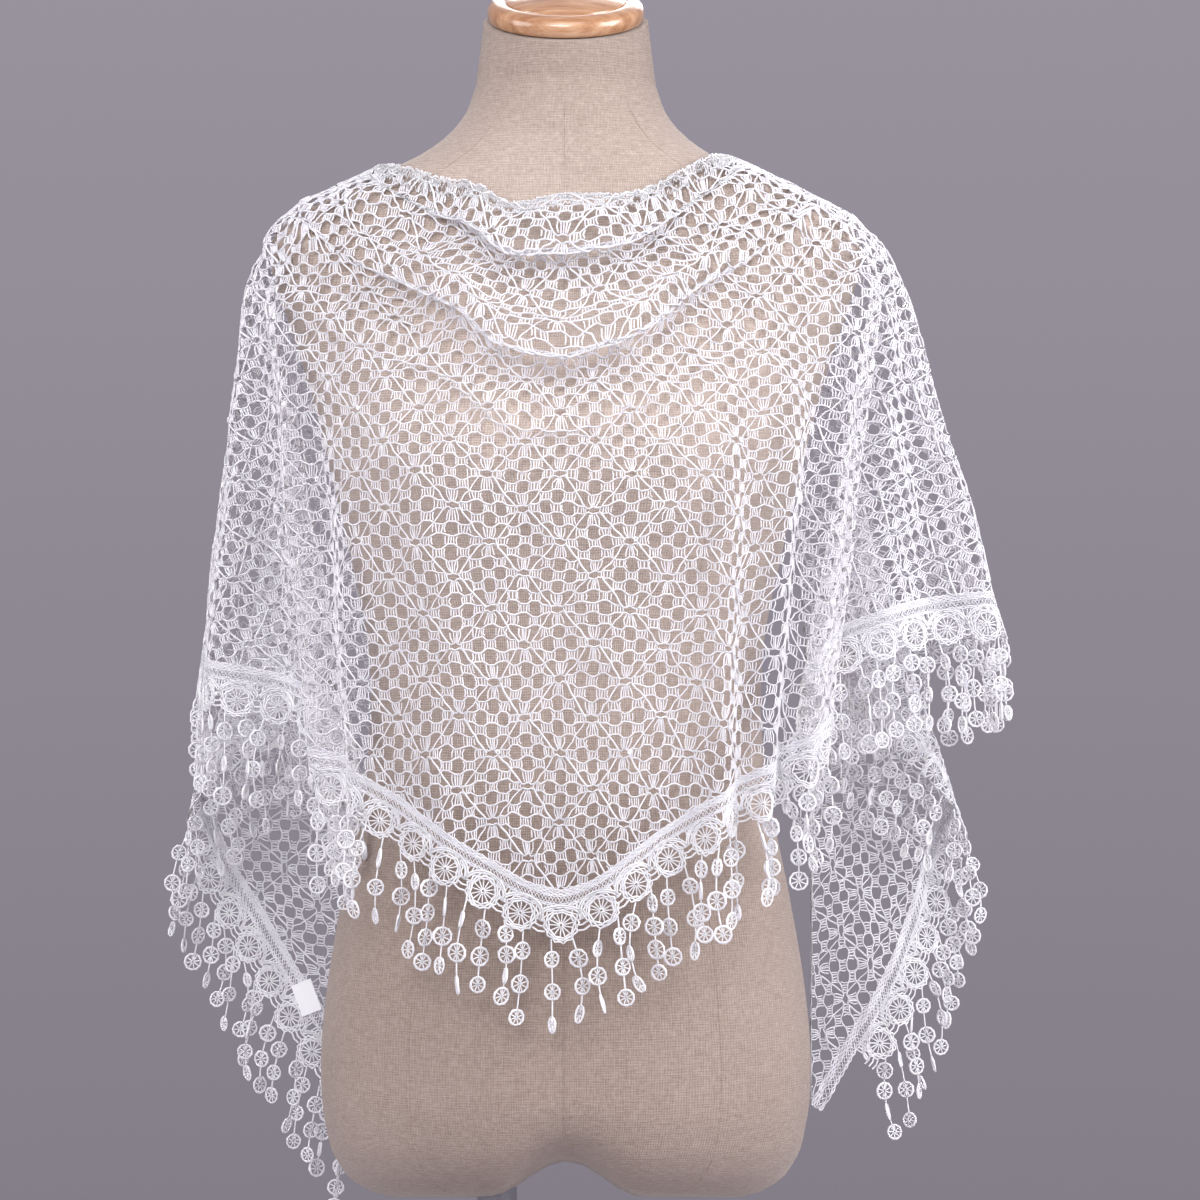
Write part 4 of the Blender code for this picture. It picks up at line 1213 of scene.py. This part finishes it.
def spun(name, profile, sides, finish, node, slot, place, tilt=0.0):
    """Turned piece: a profile of radius and height spun about the axis."""
    bm = bmesh.new()
    verts = [bm.verts.new((radius, 0, z)) for radius, z in profile]
    edges = [bm.edges.new(pair) for pair in zip(verts, verts[1:])]
    bmesh.ops.spin(bm, geom=verts + edges, cent=(0, 0, 0), axis=(0, 0, 1), angle=2 * math.pi,
                   steps=sides, use_merge=True)
    bmesh.ops.remove_doubles(bm, verts=bm.verts, dist=1e-6)
    bmesh.ops.recalc_face_normals(bm, faces=bm.faces)
    matrix = Matrix.Translation(place) @ Matrix.Rotation(tilt, 4, "X")
    bmesh.ops.transform(bm, verts=bm.verts, matrix=matrix)
    add_piece(name, smooth_mesh(name, bm, finish, 35), node, slot)


def neck_cap(finish):
    """Turned wooden cap with a rounded rim, a cut ring and a shallow dome."""
    profile = [(0, 0), (0.0490, 0), (0.0508, 0.0008), (0.0518, 0.0026), (0.0520, 0.0055), (0.0517, 0.0082),
               (0.0506, 0.0104), (0.0488, 0.0118), (0.0455, 0.0128), (0.0424, 0.0134), (0.0412, 0.0132),
               (0.0407, 0.0124), (0.0402, 0.0125), (0.0398, 0.0138), (0.0385, 0.0144), (0.0300, 0.0164),
               (0.0200, 0.0182), (0.0100, 0.0193), (0, 0.0196)]
    axis = Matrix.Rotation(NECK_TILT, 3, "X") @ Vector((0, 0, 1))
    spun("wood_cap", profile, 96, finish, "neck_cap", "turned_wood", NECK_TOP + axis * 0.0003, NECK_TILT)


def stand(chrome, steel):
    """Chrome pole on a round steel plate."""
    low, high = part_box("stand_pole")
    radius, bottom, top = (high[0] - low[0]) / 2, low[2], high[2] + ARCH_HEIGHT
    edge = 0.5 * MM
    profile = [(0, bottom), (radius - edge, bottom), (radius, bottom + edge), (radius, top - edge),
               (radius - edge, top), (0, top)]
    centre = Vector((POLE_X, 0, 0))
    spun("pole_tube", profile, 64, chrome, "stand_pole", "chrome", centre)
    low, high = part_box("stand_base")
    radius, top = (high[0] - low[0]) / 2, high[2]
    profile = [(0, 0), (radius - 0.002, 0), (radius, 0.002), (radius, top - 0.0035),
               (radius - 0.001, top - 0.001), (radius - 0.004, top), (0.03, top), (0, top)]
    spun("base_plate", profile, 128, steel, "stand_base", "base_steel", centre)


# Light, floor and camera

def area_light(name, place, aims_at, size, power, spread):
    """Soft lamp, turned to what it aims at. The camera doesn't see it."""
    light = bpy.data.lights.new(name, "AREA")
    light.shape = "RECTANGLE"
    light.size, light.size_y = size
    light.energy = power
    light.spread = spread
    lamp = bpy.data.objects.new(name, light)
    bpy.context.collection.objects.link(lamp)
    lamp.visible_camera = False
    lamp.location = place
    lamp.rotation_euler = (Vector(aims_at) - Vector(place)).to_track_quat("-Z", "Y").to_euler()


def studio():
    """Pale floor, grey surroundings and large soft lights."""
    world = bpy.data.worlds.new("studio")
    bpy.context.scene.world = world
    world.use_nodes = True
    nodes, links = world.node_tree.nodes, world.node_tree.links
    backing = nodes["Background"]
    backing.inputs["Color"].default_value = (0.305, 0.280, 0.330, 1)
    heading = nodes.new("ShaderNodeTexCoord")
    split = nodes.new("ShaderNodeSeparateXYZ")
    fade = nodes.new("ShaderNodeMapRange")
    for socket, value in zip(("From Min", "From Max", "To Min", "To Max"), BACKING_FADE):
        fade.inputs[socket].default_value = value
    links.new(heading.outputs["Generated"], split.inputs["Vector"])
    links.new(split.outputs["Z"], fade.inputs["Value"])
    links.new(fade.outputs["Result"], backing.inputs["Strength"])
    bm = bmesh.new()
    bmesh.ops.create_circle(bm, cap_ends=True, segments=96, radius=1.35)
    mesh = bpy.data.meshes.new("floor")
    bm.to_mesh(mesh)
    bm.free()
    floor = bpy.data.objects.new("floor", mesh)
    bpy.context.collection.objects.link(floor)
    finish = Finish("pale_floor", {"Base Color": (0.62, 0.60, 0.64, 1), "Roughness": 0.8})
    mesh.materials.append(finish.material)
    area_light("left", (-1.9, -0.9, 1.4), (-0.05, 0, 0.75), (1.1, 1.3), 24, math.pi)
    area_light("right", (1.9, -0.9, 1.4), (0.05, 0, 0.75), (1.1, 1.3), 49, math.pi)
    area_light("front", (-0.25, -1.8, 1.45), (0.0, -0.1, 0.80), (0.9, 0.7), 2.9, 1.0)
    area_light("top", (0.0, -1.3, 2.2), (0, 0, 0.85), (1.2, 0.8), 9, math.pi)
    area_light("back", (0.3, 1.9, 2.1), (0, 0, 0.8), (1.4, 1.0), 19, math.pi)
    bpy.context.scene.view_settings.view_transform = "Standard"


def camera():
    data = bpy.data.cameras.new("camera")
    data.sensor_width = SENSOR
    data.lens = SENSOR * DISTANCE / SEES
    eye = bpy.data.objects.new("camera", data)
    bpy.context.collection.objects.link(eye)
    eye.location = LOOKS_AT - Vector((0, DISTANCE, 0))
    eye.rotation_euler = (math.radians(90), 0, 0)
    bpy.context.scene.camera = eye


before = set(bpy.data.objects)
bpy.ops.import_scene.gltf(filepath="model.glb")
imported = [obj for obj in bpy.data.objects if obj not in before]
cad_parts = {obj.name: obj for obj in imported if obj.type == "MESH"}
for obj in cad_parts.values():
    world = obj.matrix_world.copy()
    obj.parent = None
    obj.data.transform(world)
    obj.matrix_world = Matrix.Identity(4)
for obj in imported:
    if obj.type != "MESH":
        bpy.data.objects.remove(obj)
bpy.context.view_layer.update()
camera()
drape = Drape()
yarns = {
    "net": [thread_finish("net_yarn", (0.76, 0.745, 0.795), (0.66, 0.645, 0.705), 0.60),
            thread_finish("spoke_yarn", (0.84, 0.83, 0.87), (0.76, 0.74, 0.80), 0.30)],
    "tape": [thread_finish("tape_yarn", (0.78, 0.765, 0.82), (0.68, 0.665, 0.73), 0.55)],
    "trim": [thread_finish("trim_yarn", (0.88, 0.87, 0.91), (0.70, 0.685, 0.74), 0.28)],
}
dress_shawl(drape, yarns)
sequin = Finish("sequin_clear", {"Base Color": (0.95, 0.95, 0.97, 1), "Roughness": 0.08,
                                 "Coat Weight": 1.0, "Specular IOR Level": 0.9})
add_piece("sequins", yarn_mesh("sequins", sequin_lines(drape), [sequin.material]), None, "medallion_trim")
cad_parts["care_label"].material_slots[0].material = satin_finish()
linen = linen_finish()
form_skin(linen)
form_seams(linen)
neck_cap(wood_finish())
stand(metal_finish("polished_chrome", (0.55, 0.55, 0.57), 0.07, 0.08),
      metal_finish("brushed_base", (0.50, 0.50, 0.52), 0.28, 0.2))
studio()
